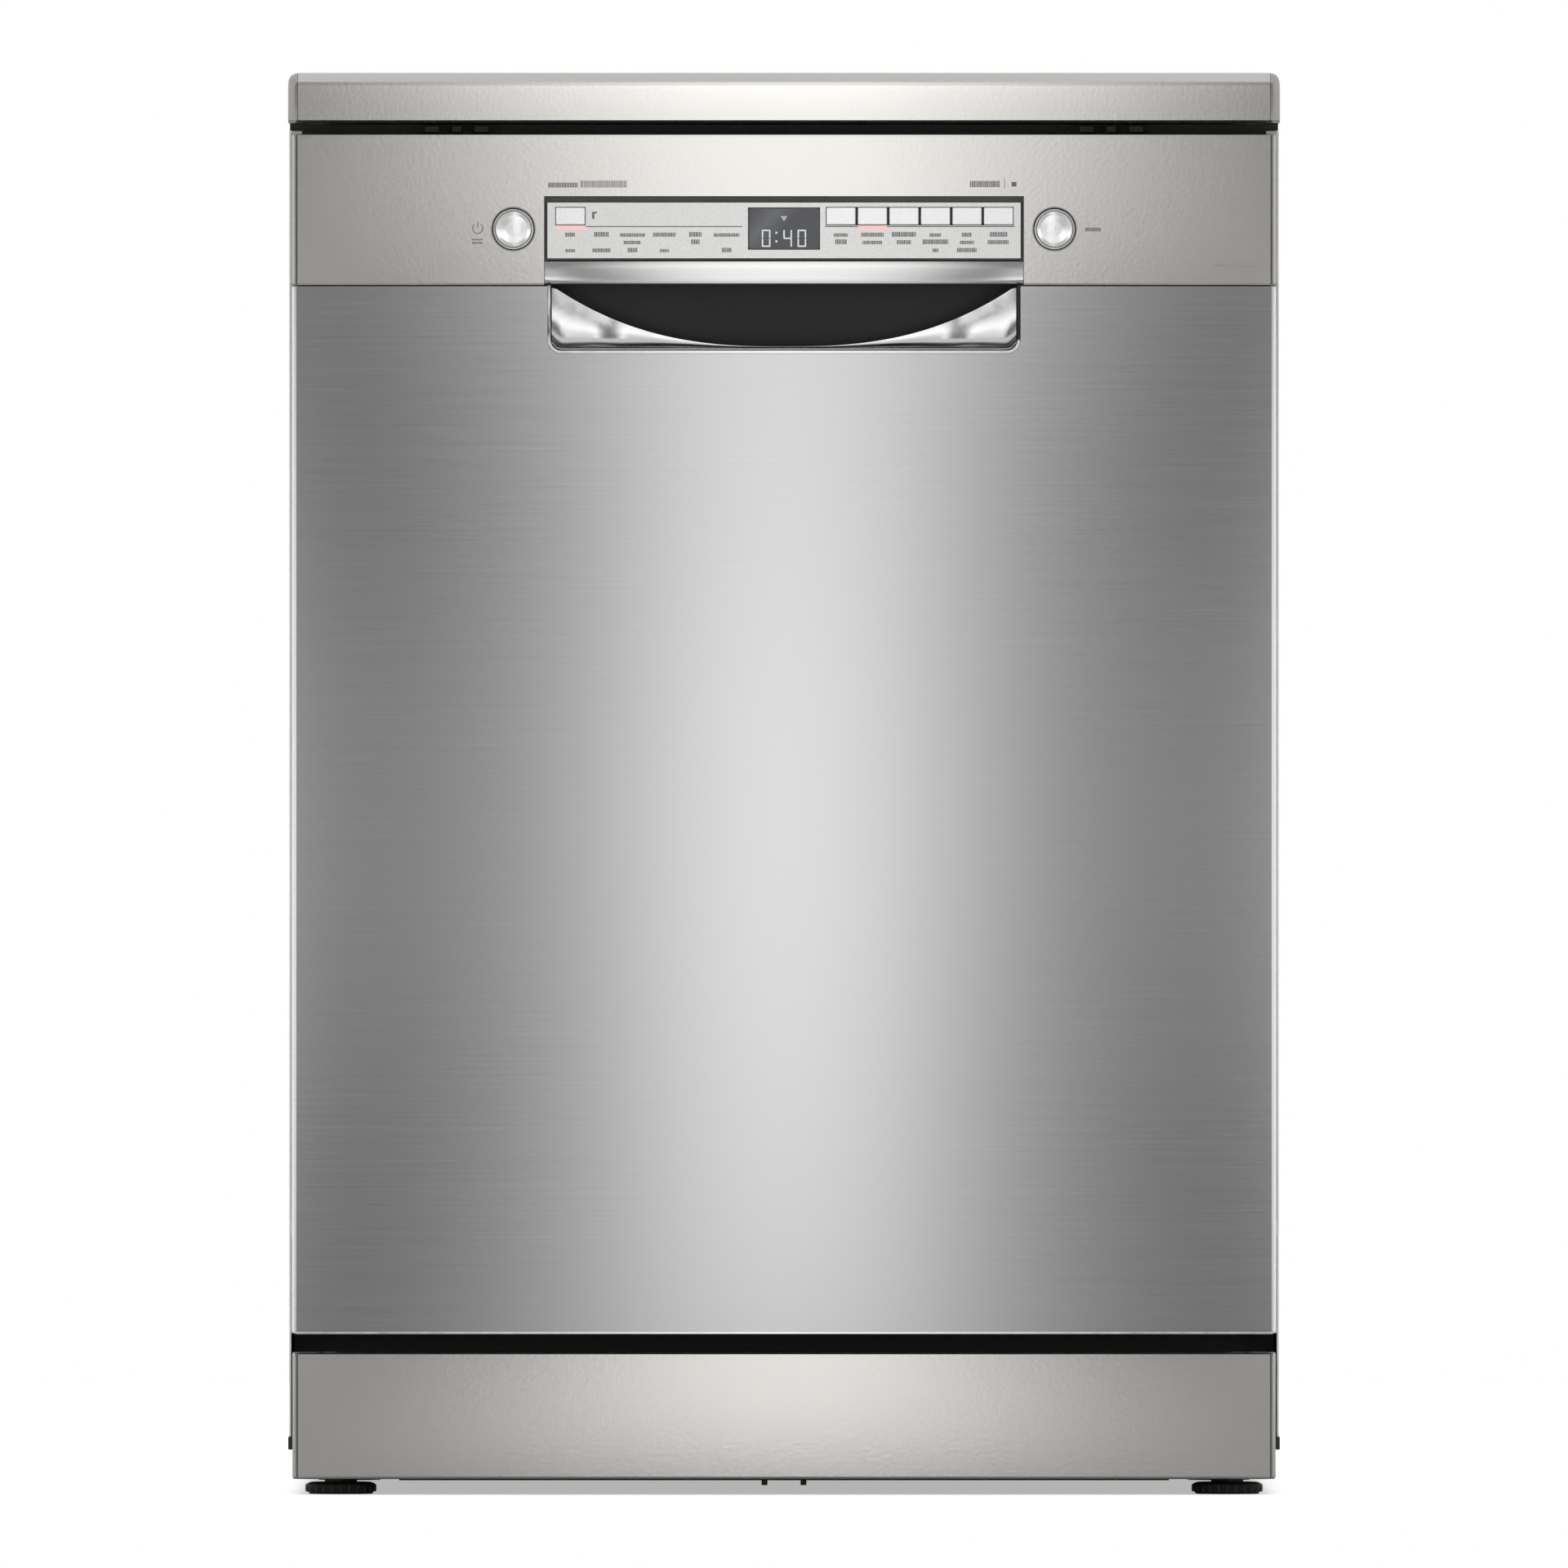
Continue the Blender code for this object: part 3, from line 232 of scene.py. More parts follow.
def printed(name, colour, roughness=0.5):
    """Screen-printed ink: a thin, slightly uneven film."""
    look = Look(name)
    film = look.noise(2500, 2.0)
    tone_and_painted_light(look, tuple(0.85 * c for c in colour), colour, look.span(film, 0.35, 0.65, 0, 1))
    return look.into("Roughness", look.span(film, 0.3, 0.7, roughness - 0.05, roughness + 0.05)).material


def lamp(name, colour, strength):
    """A small lit diode or display segment, slightly brighter in its middle."""
    look = Look(name, Emission_Strength=strength, Roughness=0.4)
    glow = look.blend(look.span(look.noise(900, 1.0), 0.3, 0.7, 0, 1), tuple(0.85 * c for c in colour),
                      colour)
    return look.into("Base Color", glow).into("Emission Color", glow).material


def circuit_board(name):
    look = Look(name, Coat_Weight=0.4)
    tracks = look.node("ShaderNodeTexBrick", Vector=look.place(turn=(math.radians(90), 0, 0)), Scale=260.0,
                       Color1=(0.02, 0.12, 0.05, 1), Color2=(0.03, 0.18, 0.08, 1),
                       Mortar=(0.10, 0.30, 0.12, 1), Mortar_Size=0.03).outputs["Color"]
    look.into("Base Color", tracks)
    return look.into("Roughness", look.span(look.noise(200, 1.0), 0.3, 0.7, 0.40, 0.52)).material


def sieve(name, base):
    """Perforated stainless sheet: a close grid of round holes painted near-black, as painted shade for the
    dark seen through them.
    """
    look = Look(name, Metallic=1.0)
    hole = look.node("ShaderNodeTexVoronoi", {"feature": "F1"}, Vector=look.place((1, 1, 0.02)), Scale=520.0,
                     Randomness=0.0).outputs["Distance"]
    solid = look.span(hole, 0.30, 0.38, 0, 1)
    # painted shade: the holes are a near-black base colour
    tone_and_painted_light(look, (0.03, 0.03, 0.03), base, solid)
    look.into("Roughness", look.span(look.noise(40, 3.0), 0.3, 0.7, 0.30, 0.42))
    return look.bump(solid, 0.4, 0.0004).material


WARM = (0.74, 0.725, 0.695)
MAT = {
    "lacquer": lacquer("silver_lacquer", WARM, 0.14),
    "lacquer_worktop": lacquer("silver_laminate", (0.74, 0.726, 0.697), 0.15),
    # painted highlight: a near-white lacquer for the door's upright edges and the side panels' front folds
    "painted_highlight_edge": lacquer("lacquer_with_painted_highlight", (0.95, 0.95, 0.94), 0.30, 0.35),
    # painted shade: a darker lacquer for the worktop's rounded ends
    "edge": lacquer("lacquer_darkened_by_painted_shade", (0.50, 0.49, 0.47), 0.24),
    "lacquer_plinth": lacquer("silver_lacquer_plinth", (0.72, 0.705, 0.675), 0.14),
    "bar": lacquer("bar_lacquer", (0.80, 0.795, 0.78), 0.28, 0.80, 0.97),
    "key": lacquer("key_lacquer", (0.96, 0.955, 0.95), 0.24, 0.60, 0.98),
    "steel": brushed("brushed_steel_front", (0.50, 0.50, 0.50), 0.17),
    "strip": brushed("brushed_strip", (0.66, 0.66, 0.65), 0.20, (9, 9, 1500)),
    "tub": satin_steel("satin_stainless", (0.74, 0.74, 0.73), 0.33),
    "zinc": galvanised("zinc_sheet", (0.50, 0.51, 0.52)),
    "sieve": sieve("perforated_steel", (0.52, 0.52, 0.52)),
    "black": moulded("black_plastic_grain", (0.020, 0.020, 0.021)),
    # pocket: the handle recess's dark moulding made darker than the black plastic, partly painted shade; the
    # cups behind the round buttons are wholly painted shade
    "pocket": moulded("pocket_black_with_painted_shade", (0.008, 0.0083, 0.0088), 0.50, 1600, 0.10),
    "dark": moulded("dark_grey_grain", (0.085, 0.088, 0.094)),
    "grey": moulded("grey_grain", (0.33, 0.34, 0.36)),
    "light": moulded("light_grey_grain", (0.55, 0.56, 0.57)),
    "white": moulded("white_plastic_grain", (0.74, 0.74, 0.72), 0.42),
    "arm": moulded("spray_arm_plastic", (0.20, 0.21, 0.23), 0.40),
    "wire": moulded("nylon_wire_coating", (0.42, 0.45, 0.48), 0.36, 500, 0.10),
    "rubber": soft_rubber("seal_rubber"),
    "chrome": bright_trim("bright_trim", (0.84, 0.84, 0.84), 0.16),
    "scoop": bright_trim("satin_trim", (0.78, 0.78, 0.78), 0.20),
    "window": smoked_window("smoked_window"),
    "carrier": moulded("carrier_frame_grain", (0.15, 0.15, 0.152), 0.42, 1600, 0.08),
    "coated": moulded("black_coated_steel", (0.012, 0.012, 0.0125), 0.50, 900, 0.06),
    "ink": printed("grey_ink", (0.17, 0.167, 0.163)),
    "ink_light": printed("light_ink", (0.33, 0.325, 0.318)),
    "digit": lamp("display_digit", (0.62, 0.65, 0.67), 0.42),
    "red": lamp("red_indicator", (0.88, 0.42, 0.42), 0.62),
    "board": circuit_board("circuit_board"),
}
SLOT_LOOK = {
    "lacquer_silver": "lacquer", "laminate_silver": "lacquer_worktop", "button_silver": "key",
    "key_silver": "key", "bar_silver": "bar", "brushed_steel": "steel", "tub_steel": "tub",
    "zinc_steel": "zinc", "filter_steel": "sieve", "black_plastic": "black", "black_rubber": "rubber",
    "chrome_trim": "strip", "display_glass": "window", "board_green": "board",
    "dark_grey_plastic": "dark", "grey_plastic": "grey", "white_plastic": "white", "arm_grey": "arm",
    "rack_coating": "wire",
}


def dress_nodes():
    """Gives every CAD node the look of its slot."""
    slots = {row["node"]: row["material_slot"] for row in frame["record"]["subparts"]}
    special = {"handle_scoop": "scoop", "handle_recess": "pocket", "plinth_panel": "lacquer_plinth",
               "control_carrier": "carrier"}
    for side in ("left", "right"):
        special[f"hinge_arm_{side}"] = special[f"hinge_bracket_{side}"] = "coated"
    for name, obj in NODES.items():
        look = MAT[special.get(name, SLOT_LOOK[slots[name]])]
        obj.data.materials.clear()
        obj.data.materials.append(look)
        obj.data.shade_smooth()
        obj.data.set_sharp_from_angle(angle=math.radians(35))


dress_nodes()

# ---------------------------------------------------------------- shapes


def rounded_path(points, radius, steps=4):
    """The polyline with each inner corner replaced by an arc-like curve of about that radius."""
    points = [Vector(p) for p in points]
    path = [points[0]]
    for before, corner, after in zip(points, points[1:], points[2:]):
        reach = min(radius, (corner - before).length / 2, (after - corner).length / 2)
        start = corner + (before - corner).normalized() * reach
        end = corner + (after - corner).normalized() * reach
        for i in range(steps + 1):
            t = i / steps
            path.append(start.lerp(corner, t).lerp(corner.lerp(end, t), t))
    return path + [points[-1]]


class Shape:
    """Collects simple solids into one mesh, which becomes one piece of the object."""

    def __init__(self):
        self.bm = bmesh.new()

    def box(self, low, high):
        low, high = Vector(low), Vector(high)
        place = Matrix.Translation((low + high) / 2) @ Matrix.Diagonal((*(high - low), 1.0))
        bmesh.ops.create_cube(self.bm, size=1.0, matrix=place)
        return self

    def rod(self, start, end, radius, end_radius=None, sides=20):
        start, end = Vector(start), Vector(end)
        turn = (end - start).to_track_quat("Z", "Y").to_matrix().to_4x4()
        bmesh.ops.create_cone(
            self.bm, cap_ends=True, segments=sides, radius1=radius,
            radius2=radius if end_radius is None else end_radius,
            depth=(end - start).length, matrix=Matrix.Translation((start + end) / 2) @ turn,
        )
        return self

    def ball(self, centre, radius, flat=(1, 1, 1)):
        place = Matrix.Translation(centre) @ Matrix.Diagonal((*[radius * f for f in flat], 1.0))
        bmesh.ops.create_uvsphere(self.bm, u_segments=12, v_segments=8, radius=1.0, matrix=place)
        return self

    def loft(self, rings, closed=False, caps=True):
        """Faces between rings of points; every ring has the same number of points."""
        made = [[self.bm.verts.new(p) for p in ring] for ring in rings]
        pairs = list(zip(made, made[1:])) + ([(made[-1], made[0])] if closed else [])
        for near, far in pairs:
            for j in range(len(near)):
                k = (j + 1) % len(near)
                self.bm.faces.new((near[j], near[k], far[k], far[j]))
        if caps and not closed:
            self.bm.faces.new(made[0])
            self.bm.faces.new(list(reversed(made[-1])))
        return self

    def tube(self, path, radius, sides=8, closed=False):
        """A round wire along a path, with round-shouldered ends."""
        path = [Vector(p) for p in path]
        count = len(path)
        rings, side = [], None
        for i, here in enumerate(path):
            before = path[i - 1] if i or closed else here
            after = path[(i + 1) % count] if i < count - 1 or closed else here
            along = (after - before).normalized()
            if side is None:
                side = along.orthogonal().normalized()
            side = (side - along * side.dot(along)).normalized()
            up = along.cross(side)
            turns = [math.tau * k / sides for k in range(sides)]
            rings.append([here + radius * (math.cos(a) * side + math.sin(a) * up) for a in turns])
        return self.loft(rings, closed)

    def ring(self, centre, axis, profile, steps=48):
        """A closed (radius, height) profile turned about an axis through centre."""
        turn = Vector(axis).to_track_quat("Z", "Y").to_matrix()
        rings = []
        for i in range(steps):
            angle = math.tau * i / steps
            away = Vector((math.cos(angle), math.sin(angle), 0))
            rings.append([Vector(centre) + turn @ (away * r + Vector((0, 0, h))) for r, h in profile])
        return self.loft(rings, closed=True)

    def prism(self, outline, low, high, axis="Y"):
        """An outline of two-number points swept along an axis from low to high."""
        place = {"X": lambda p, t: (t, *p), "Y": lambda p, t: (p[0], t, p[1]), "Z": lambda p,
                 t: (*p, t)}[axis]
        return self.loft([[place(p, low) for p in outline], [place(p, high) for p in outline]])

    def piece(self, name, body, look, bevel=0.0, replaces=(), segments=2, smooth_angle=35):
        """Ends the mesh and makes it a piece that rides on a body."""
        bmesh.ops.recalc_face_normals(self.bm, faces=self.bm.faces)
        mesh = bpy.data.meshes.new(name)
        self.bm.to_mesh(mesh)
        self.bm.free()
        mesh.materials.append(MAT[look])
        mesh.shade_smooth()
        mesh.set_sharp_from_angle(angle=math.radians(smooth_angle))
        obj = bpy.data.objects.new(name, mesh)
        bpy.context.scene.collection.objects.link(obj)
        if bevel:
            rounding = obj.modifiers.new("rounded edges", "BEVEL")
            rounding.width = bevel
            rounding.segments = segments
            rounding.limit_method = "ANGLE"
            rounding.angle_limit = math.radians(40)
            rounding.harden_normals = True
        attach(obj, body)
        if replaces:
            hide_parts(*replaces)
        return obj


def rounded_rectangle(half_x, low, high, radius, steps=6, square_top=False):
    """Outline points of an upright rectangle with rounded corners, square at the top if asked."""
    points = []
    corners = ((1, 1, 0), (-1, 1, 90), (-1, -1, 180), (1, -1, 270))
    for side_x, side_z, start in corners:
        r = 0.0 if square_top and side_z > 0 else radius
        centre_x = side_x * (half_x - r)
        centre_z = (high - r) if side_z > 0 else (low + r)
        for i in range(steps + 1 if r else 1):
            angle = math.radians(start + 90 * i / steps)
            points.append((centre_x + r * math.cos(angle), centre_z + r * math.sin(angle)))
    return points


# ---------------------------------------------------------------- front: worktop, gap and fascia

FRONT_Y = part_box("fascia")[0].y  # face of the fascia and the control bar
INK = 0.00006  # how far print stands off what it is on


def worktop_outline(inset):
    """(y, z) outline of the worktop's cross-section, drawn in on all sides but the bottom."""
    low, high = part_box("worktop")
    front, back, top, bottom = low.y + inset, high.y - inset, high.z - inset, low.z
    points = [(front + 0.0032, bottom), (back - 0.002, bottom), (back, bottom + 0.002)]
    for i in range(7):
        angle = math.radians(90 * i / 6)
        points.append((back - 0.004 + 0.004 * math.cos(angle), top - 0.004 + 0.004 * math.sin(angle)))
    for i in range(13):
        angle = math.radians(90 + 80 * i / 12)
        points.append((front + 0.0106 + 0.0100 * math.cos(angle), top - 0.0100 + 0.0100 * math.sin(angle)))
    last_y, last_z = points[-1]
    for i in range(1, 11):
        t = i / 10
        points.append((front + (1 - t) ** 2 * (last_y - front), last_z + (bottom + 0.0012 - last_z) * t))
    return points


def worktop():
    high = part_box("worktop")[1]
    seam = high.x - 0.0062
    core = Shape()
    core.loft([[(x, *p) for p in worktop_outline(0.0)] for x in (-seam, -seam * 0.5, 0, seam * 0.5, seam)])
    core.piece("worktop_board", "root", "lacquer_worktop", replaces=["worktop"])
    for label, side in (("left", -1), ("right", 1)):
        radius, rings = 0.0058, []
        for i in range(9):
            run = radius * math.sin(math.radians(90 * i / 8))
            inset = radius - math.sqrt(max(radius**2 - run**2, 0.0))
            rings.append([(side * (seam + 0.0002 + run), *p) for p in worktop_outline(0.0002 + inset)])
        # painted shade: the rounded ends get the darker edge lacquer
        Shape().loft(rings).piece(f"worktop_end_{label}", "root", "edge", replaces=["worktop"],
                                  smooth_angle=50)


def under_worktop():
    """The shadow gap: a black crossmember, the worktop's slide-in lugs, and a black block in each corner
    that is painted shadow.
    """
    flange_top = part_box("tub")[1].z
    half = 0.2920
    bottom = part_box("worktop")[0].z
    cross = Shape().box((-half, -0.2560, flange_top + 0.0006), (half, -0.2380, bottom - 0.0004))
    cross.piece("top_crossmember", "root", "coated", bevel=0.0006)
    lugs = Shape()
    for side in (-1, 1):
        for centre, width in ((0.213, 0.009), (0.198, 0.006), (0.183, 0.009)):
            x = side * centre
            lugs.box((x - width / 2, -0.2760, 0.8240), (x + width / 2, -0.2550, 0.8282))
    lugs.piece("worktop_lugs", "root", "black", bevel=0.0006)
    for label, side in (("left", -1), ("right", 1)):
        x_in, x_out = sorted((side * 0.2912, side * 0.2992))
        corner = Shape().box((x_in, -0.2555, 0.8150), (x_out, -0.2440, 0.8256))
        corner.piece(f"side_corner_{label}", "root", "lacquer", bevel=0.0005)
        shadow = Shape().box((x_in, -0.2520, 0.8258), (x_out, -0.2400, 0.8298))
        # painted shadow: a black block in the corner of the gap
        shadow.piece(f"corner_painted_shadow_{label}", "root", "black", bevel=0.0003)


def groove_shadows():
    """A dark strip painted at the bottom of the fine groove near each end of the fascia and the plinth:
    painted shadow.
    """
    for node, body in (("fascia", "door"), ("plinth_panel", "root")):
        low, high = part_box(node)
        painted_groove_shadow = Shape()
        for side in (-1, 1):
            x_in, x_out = sorted((side * 0.29405, side * 0.29515))
            painted_groove_shadow.box((x_in, low.y + 0.00025, low.z + 0.0006), (x_out, low.y + 0.0012, high.z - 0.0006))
        painted_groove_shadow.piece(f"{node}_joint", body, "dark")


def word(shape, centre_x, z, width, height, seed, y=None):
    """A dummy word: a row of plain blocks of uneven width, with no letters in it."""
    y = FRONT_Y if y is None else y
    left = centre_x - width / 2
    x, i = left, 0
    while x < left + width - 0.0003:
        step = 0.00055 + 0.00035 * ((seed * 7 + i * 5) % 4) / 3
        tall = height * (0.72 + 0.28 * ((seed + i * 3) % 3) / 2)
        shape.box((x, y - INK, z - height / 2),
                  (min(x + step, left + width), y + 0.0001, z - height / 2 + tall))
        x += step + 0.00028
        i += 1


ROW_TOP, ROW_MIDDLE, ROW_LOW = 0.7622, 0.7577, 0.7527  # heights of the three rows of dummy words


def panel_print():
    """All marks on the fascia and on the control bar."""
    marks, soft = Shape(), Shape()
    columns = [-0.1291, -0.1102, -0.0916, -0.0722, -0.0536, -0.0347]
    widths = [0.0062, 0.0092, 0.0150, 0.0140, 0.0075, 0.0155]
    for i, (x, width) in enumerate(zip(columns, widths)):
        word(marks, x, ROW_TOP, width, 0.0029, i + 1)
        if i in (2, 4):
            word(marks, x, ROW_MIDDLE, width * 0.7, 0.0029, i + 4)
        if i != 4:
            word(marks, x, ROW_LOW, 0.0058 if i != 1 else 0.0110, 0.0027, i + 9)
    for i in range(6):
        x = 0.0344 + 0.01905 * i
        word(marks, x, ROW_TOP, (0.0085, 0.0135, 0.0145, 0.0070, 0.0062, 0.0105)[i], 0.0029, i + 15)
        word(marks, x, ROW_MIDDLE, (0.0070, 0.0120, 0.0085, 0.0155, 0.0085, 0.0130)[i], 0.0029, i + 23)
        if i in (3, 4):
            word(marks, x, ROW_LOW, 0.0035 if i == 3 else 0.0120, 0.0026, i + 31)
    y = FRONT_Y - INK
    key_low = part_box("option_button_1")[0]
    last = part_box("option_button_6")[1].x
    groove_z = key_low.z - 0.0011
    marks.box((key_low.x - 0.0010, y, groove_z - 0.0003),
              (last + 0.0010, FRONT_Y + 0.0001, groove_z + 0.0003))
    marks.box((-0.1196, y, groove_z - 0.0003), (-0.0253, FRONT_Y + 0.0001, groove_z + 0.0003))
    marks.box((-0.1160, y, 0.7716), (-0.1146, FRONT_Y + 0.0001, 0.7758))
    marks.box((-0.1146, y, 0.7748), (-0.1130, FRONT_Y + 0.0001, 0.7758))
    fascia_marks(marks, soft)
    marks.piece("panel_print", "door", "ink")
    soft.piece("panel_print_light", "door", "ink_light")


def fascia_marks(marks, soft):
    """Marks outside the control bar: plain dashes, and a power sign beside the left-hand button."""
    for seed, centre, width in ((3, -0.1335, 0.018), (5, -0.1090, 0.028)):
        word(soft if seed == 5 else marks, centre, 0.7926, width, 0.0042, seed)
    word(marks, 0.1215, 0.7926, 0.018, 0.0038, 11)
    marks.box((0.1331, FRONT_Y - INK, 0.7896), (0.1335, FRONT_Y + 0.0001, 0.7960))
    marks.box((0.1375, FRONT_Y - INK, 0.7911), (0.1405, FRONT_Y + 0.0001, 0.7939))
    word(marks, 0.1868, 0.7656, 0.0095, 0.0032, 6)
    word(soft, 0.2725, 0.7433, 0.0250, 0.0014, 8)
    centre_x, centre_z, radius = -0.1852, 0.7658, 0.0030
    arc = []
    for i in range(25):
        angle = math.radians(125 + 290 * i / 24)
        arc.append((centre_x + radius * math.cos(angle), FRONT_Y, centre_z + radius * math.sin(angle)))
    marks.tube(arc, 0.00028, 6)
    marks.box((centre_x - 0.00028, FRONT_Y - INK, centre_z + 0.0006),
              (centre_x + 0.00028, FRONT_Y + 0.0001, centre_z + 0.0038))
    word(marks, centre_x, 0.7592, 0.0070, 0.0012, 9)
    word(marks, centre_x, 0.7570, 0.0064, 0.0012, 2)


SEGMENTS = {  # which of the seven bars of a digit are lit: top, top left, top right, middle, ...
    "0": (1, 1, 1, 0, 1, 1, 1), "4": (0, 1, 1, 1, 0, 1, 0),
}


def digit(shape, centre_x, bottom, figure, lit_y):
    width, height, bar = 0.0052, 0.0104, 0.00085
    left, right = centre_x - width / 2, centre_x + width / 2
    top, middle = bottom + height, bottom + height / 2
    trim = 0.00022
    spots = [
        ((left + trim, top - bar), (right - trim, top)),
        ((left, middle + trim), (left + bar, top - trim)),
        ((right - bar, middle + trim), (right, top - trim)),
        ((left + trim, middle - bar / 2), (right - trim, middle + bar / 2)),
        ((left, bottom + trim), (left + bar, middle - trim)),
        ((right - bar, bottom + trim), (right, middle - trim)),
        ((left + trim, bottom), (right - trim, bottom + bar)),
    ]
    for on, ((x0, z0), (x1, z1)) in zip(SEGMENTS[figure], spots):
        if on:
            shape.box((x0, lit_y - INK, z0), (x1, lit_y + 0.00008, z1))


def display():
    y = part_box("display_window")[0].y
    lit = Shape()
    for x, figure in ((-0.0108, "0"), (0.0022, "4"), (0.0108, "0")):
        digit(lit, x, 0.7546, figure, y)
    for z in (0.7580, 0.7632):
        lit.box((-0.0052, y - INK, z - 0.0006), (-0.0040, y + 0.00008, z + 0.0006))
    for i in range(3):
        reach = 0.0006 + 0.0006 * i
        lit.box((-reach, y - INK, 0.7706 + 0.0010 * i), (reach, y + 0.00008, 0.7711 + 0.0010 * i))
    lit.piece("display_digits", "door", "digit")
    frame_bars = Shape()
    (x0, _, z0), (x1, _, z1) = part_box("display_window")
    edge = 0.0007
    for low, high in (((x0, z0), (x1, z0 + edge)), ((x0, z1 - edge), (x1, z1)), ((x0, z0), (x0 + edge, z1)),
                      ((x1 - edge, z0), (x1, z1))):
        frame_bars.box((low[0], y - INK, low[1]), (high[0], y + 0.00008, high[1]))
    frame_bars.piece("display_border", "door", "dark")


def indicators():
    """Lit lines under the program key and under the second option key."""
    for label, node in (("program", "program_button"), ("option", "option_button_2")):
        low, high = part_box(node)
        line = Shape().box((low.x, FRONT_Y - 2 * INK, low.z - 0.0027),
                           (high.x, FRONT_Y + 0.0002, low.z - 0.0006))
        line.piece(f"{label}_indicator", "door", "red", bevel=0.0001)


def button_wells():
    """A near-black cup behind each round button as painted shade in the gap round it, and a fine bright ring
    on the fascia round it.
    """
    for node in ("power_button", "start_button"):
        low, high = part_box(node)
        centre = ((low.x + high.x) / 2, FRONT_Y, (low.z + high.z) / 2)
        cup = [(0.0129, 0.0006), (0.0129, -0.0105), (0.0, -0.0105), (0.0, -0.0092), (0.0127, -0.0092),
               (0.0127, 0.0006)]
        name = node.replace("button", "well")
        # painted shade: the cup is near-black where the gap round the button lies in shade
        Shape().ring(centre, (0, -1, 0),
                     [(max(r, 0.0001), h - 0.0010) for r, h in cup]).piece(name, "door", "pocket")
        lip = [(0.0129, 0.00008), (0.0136, 0.00008), (0.0136, -0.0002), (0.0129, -0.0002)]
        Shape().ring(centre, (0, -1, 0), lip).piece(node + "_rim", "door", "ink_light")


# ---------------------------------------------------------------- front: handle recess

RECESS_LOW, RECESS_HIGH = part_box("handle_recess")
SCOOP_LOW, SCOOP_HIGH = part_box("handle_scoop")
STRIP_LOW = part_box("handle_strip")[0]


def scoop_top(x):
    """Upper edge of the bright lip: low and nearly flat in the middle, swept up to both ends."""
    reach = min(abs(x) / 0.1385, 1.0)
    return 0.6945 + 0.0355 * reach**2.6


def handle_strip_skin():
    """The grip strip's visible shape: its front is swept back a little towards both ends."""
    low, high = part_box("handle_strip")
    half, depth, rings = high.x, high.y - low.y, []
    sweep = min(0.0048, depth * 0.5)
    for i in range(49):
        x = half * (i / 24 - 1)
        front = low.y + sweep * abs(i / 24 - 1) ** 4
        ring = [(x, high.y, low.z), (x, high.y, high.z)]
        for j in range(9):
            t = j / 8
            ring.append((x, front + 0.0009 * (2 * t - 1) ** 4, high.z + (low.z - high.z) * t))
        rings.append(ring)
    skin = Shape()
    skin.loft(rings)
    skin.piece("grip_strip", "door", "strip", replaces=["handle_strip"], smooth_angle=40)


def handle_scoop():
    """The lip as a smooth dished surface that rolls over into the pocket along its top edge."""
    half = SCOOP_HIGH.x
    corner = 0.0070
    front, back = SCOOP_LOW.y + 0.0002, SCOOP_HIGH.y
    rings = []
    for i in range(97):
        x = -half + 2 * half * i / 96
        inset = max(abs(x) - (half + 0.0006 - corner), 0.0)
        floor = SCOOP_LOW.z + corner - math.sqrt(max(corner**2 - inset**2, 0.0))
        top = max(scoop_top(x), floor + 0.0010)
        rise = top - floor
        t = min(max((abs(x) - 0.096) / 0.018, 0.0), 1.0)
        step = 0.0019 * t * t * (3 - 2 * t)
        section = [(front, floor), (front, floor + 0.0004)]
        for k in range(1, 9):
            t = k / 8
            run = back - 0.0012 - front
            y = front + step * math.sin(math.pi * t) + run * math.sin(math.radians(90 * t)) ** 0.8
            section.append((y, floor + 0.0004 + (rise - 0.0004) * t**1.7))
        section += [(back, top - 0.0004), (back, floor)]
        rings.append([(x, *p) for p in section])
    Shape().loft(rings).piece("handle_lip", "door", "scoop", replaces=["handle_scoop"], smooth_angle=50)


def recess_rim():
    """Thin bright bead round the recess, on the steel panel."""
    half, low, top = RECESS_HIGH.x, RECESS_LOW.z, STRIP_LOW.z - 0.0012
    outer = rounded_rectangle(half + 0.0003, low - 0.0003, top, 0.008, 8, True)
    inner = rounded_rectangle(half - 0.0013, low + 0.0013, top, 0.0068, 8, True)
    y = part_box("door_outer_panel")[0].y
    section = [(outer, y - 0.00045), (outer, y - 0.0009), (inner, y - 0.0009), (inner, y + 0.0012)]
    bead = Shape()
    for (near, near_y), (far, far_y) in zip(section, section[1:]):
        for j in range(1, len(near) - 1):
            a, b, c, d = (near[j], near_y), (near[j + 1], near_y), (far[j + 1], far_y), (far[j], far_y)
            bead.bm.faces.new([bead.bm.verts.new((x, depth, z)) for (x, z), depth in (a, b, c, d)])
    bmesh.ops.remove_doubles(bead.bm, verts=bead.bm.verts, dist=0.00001)
    solid = bead.piece("recess_bead", "door", "chrome")
    thick = solid.modifiers.new("thickness", "SOLIDIFY")
    thick.thickness = 0.0004


def door_edges():
    """A bright hem along the steel panel's lower edge, and its two upright edges in near-white lacquer as a
    painted highlight.
    """
    low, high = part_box("door_outer_panel")
    hem = Shape().box((low.x + 0.0022, low.y - 0.0002, low.z - 0.0006),
                      (high.x - 0.0022, low.y + 0.0050, low.z + 0.0010))
    hem.piece("door_lower_hem", "door", "chrome", bevel=0.0004)
    for label, side in (("left", -1), ("right", 1)):
        outer = high.x if side > 0 else low.x
        x_in, x_out = sorted((outer - side * 0.0019, outer + side * 0.0001))
        edge = Shape().box((x_in, low.y - 0.0002, low.z + 0.0004), (x_out, low.y + 0.0040, high.z - 0.0002))
        # painted highlight: the upright edge strip is near-white lacquer
        edge.piece(f"door_edge_{label}", "door", "painted_highlight_edge", bevel=0.0008, segments=3)


worktop()
under_worktop()
groove_shadows()
panel_print()
display()
indicators()
button_wells()
handle_strip_skin()
handle_scoop()
recess_rim()
door_edges()

# ---------------------------------------------------------------- racks


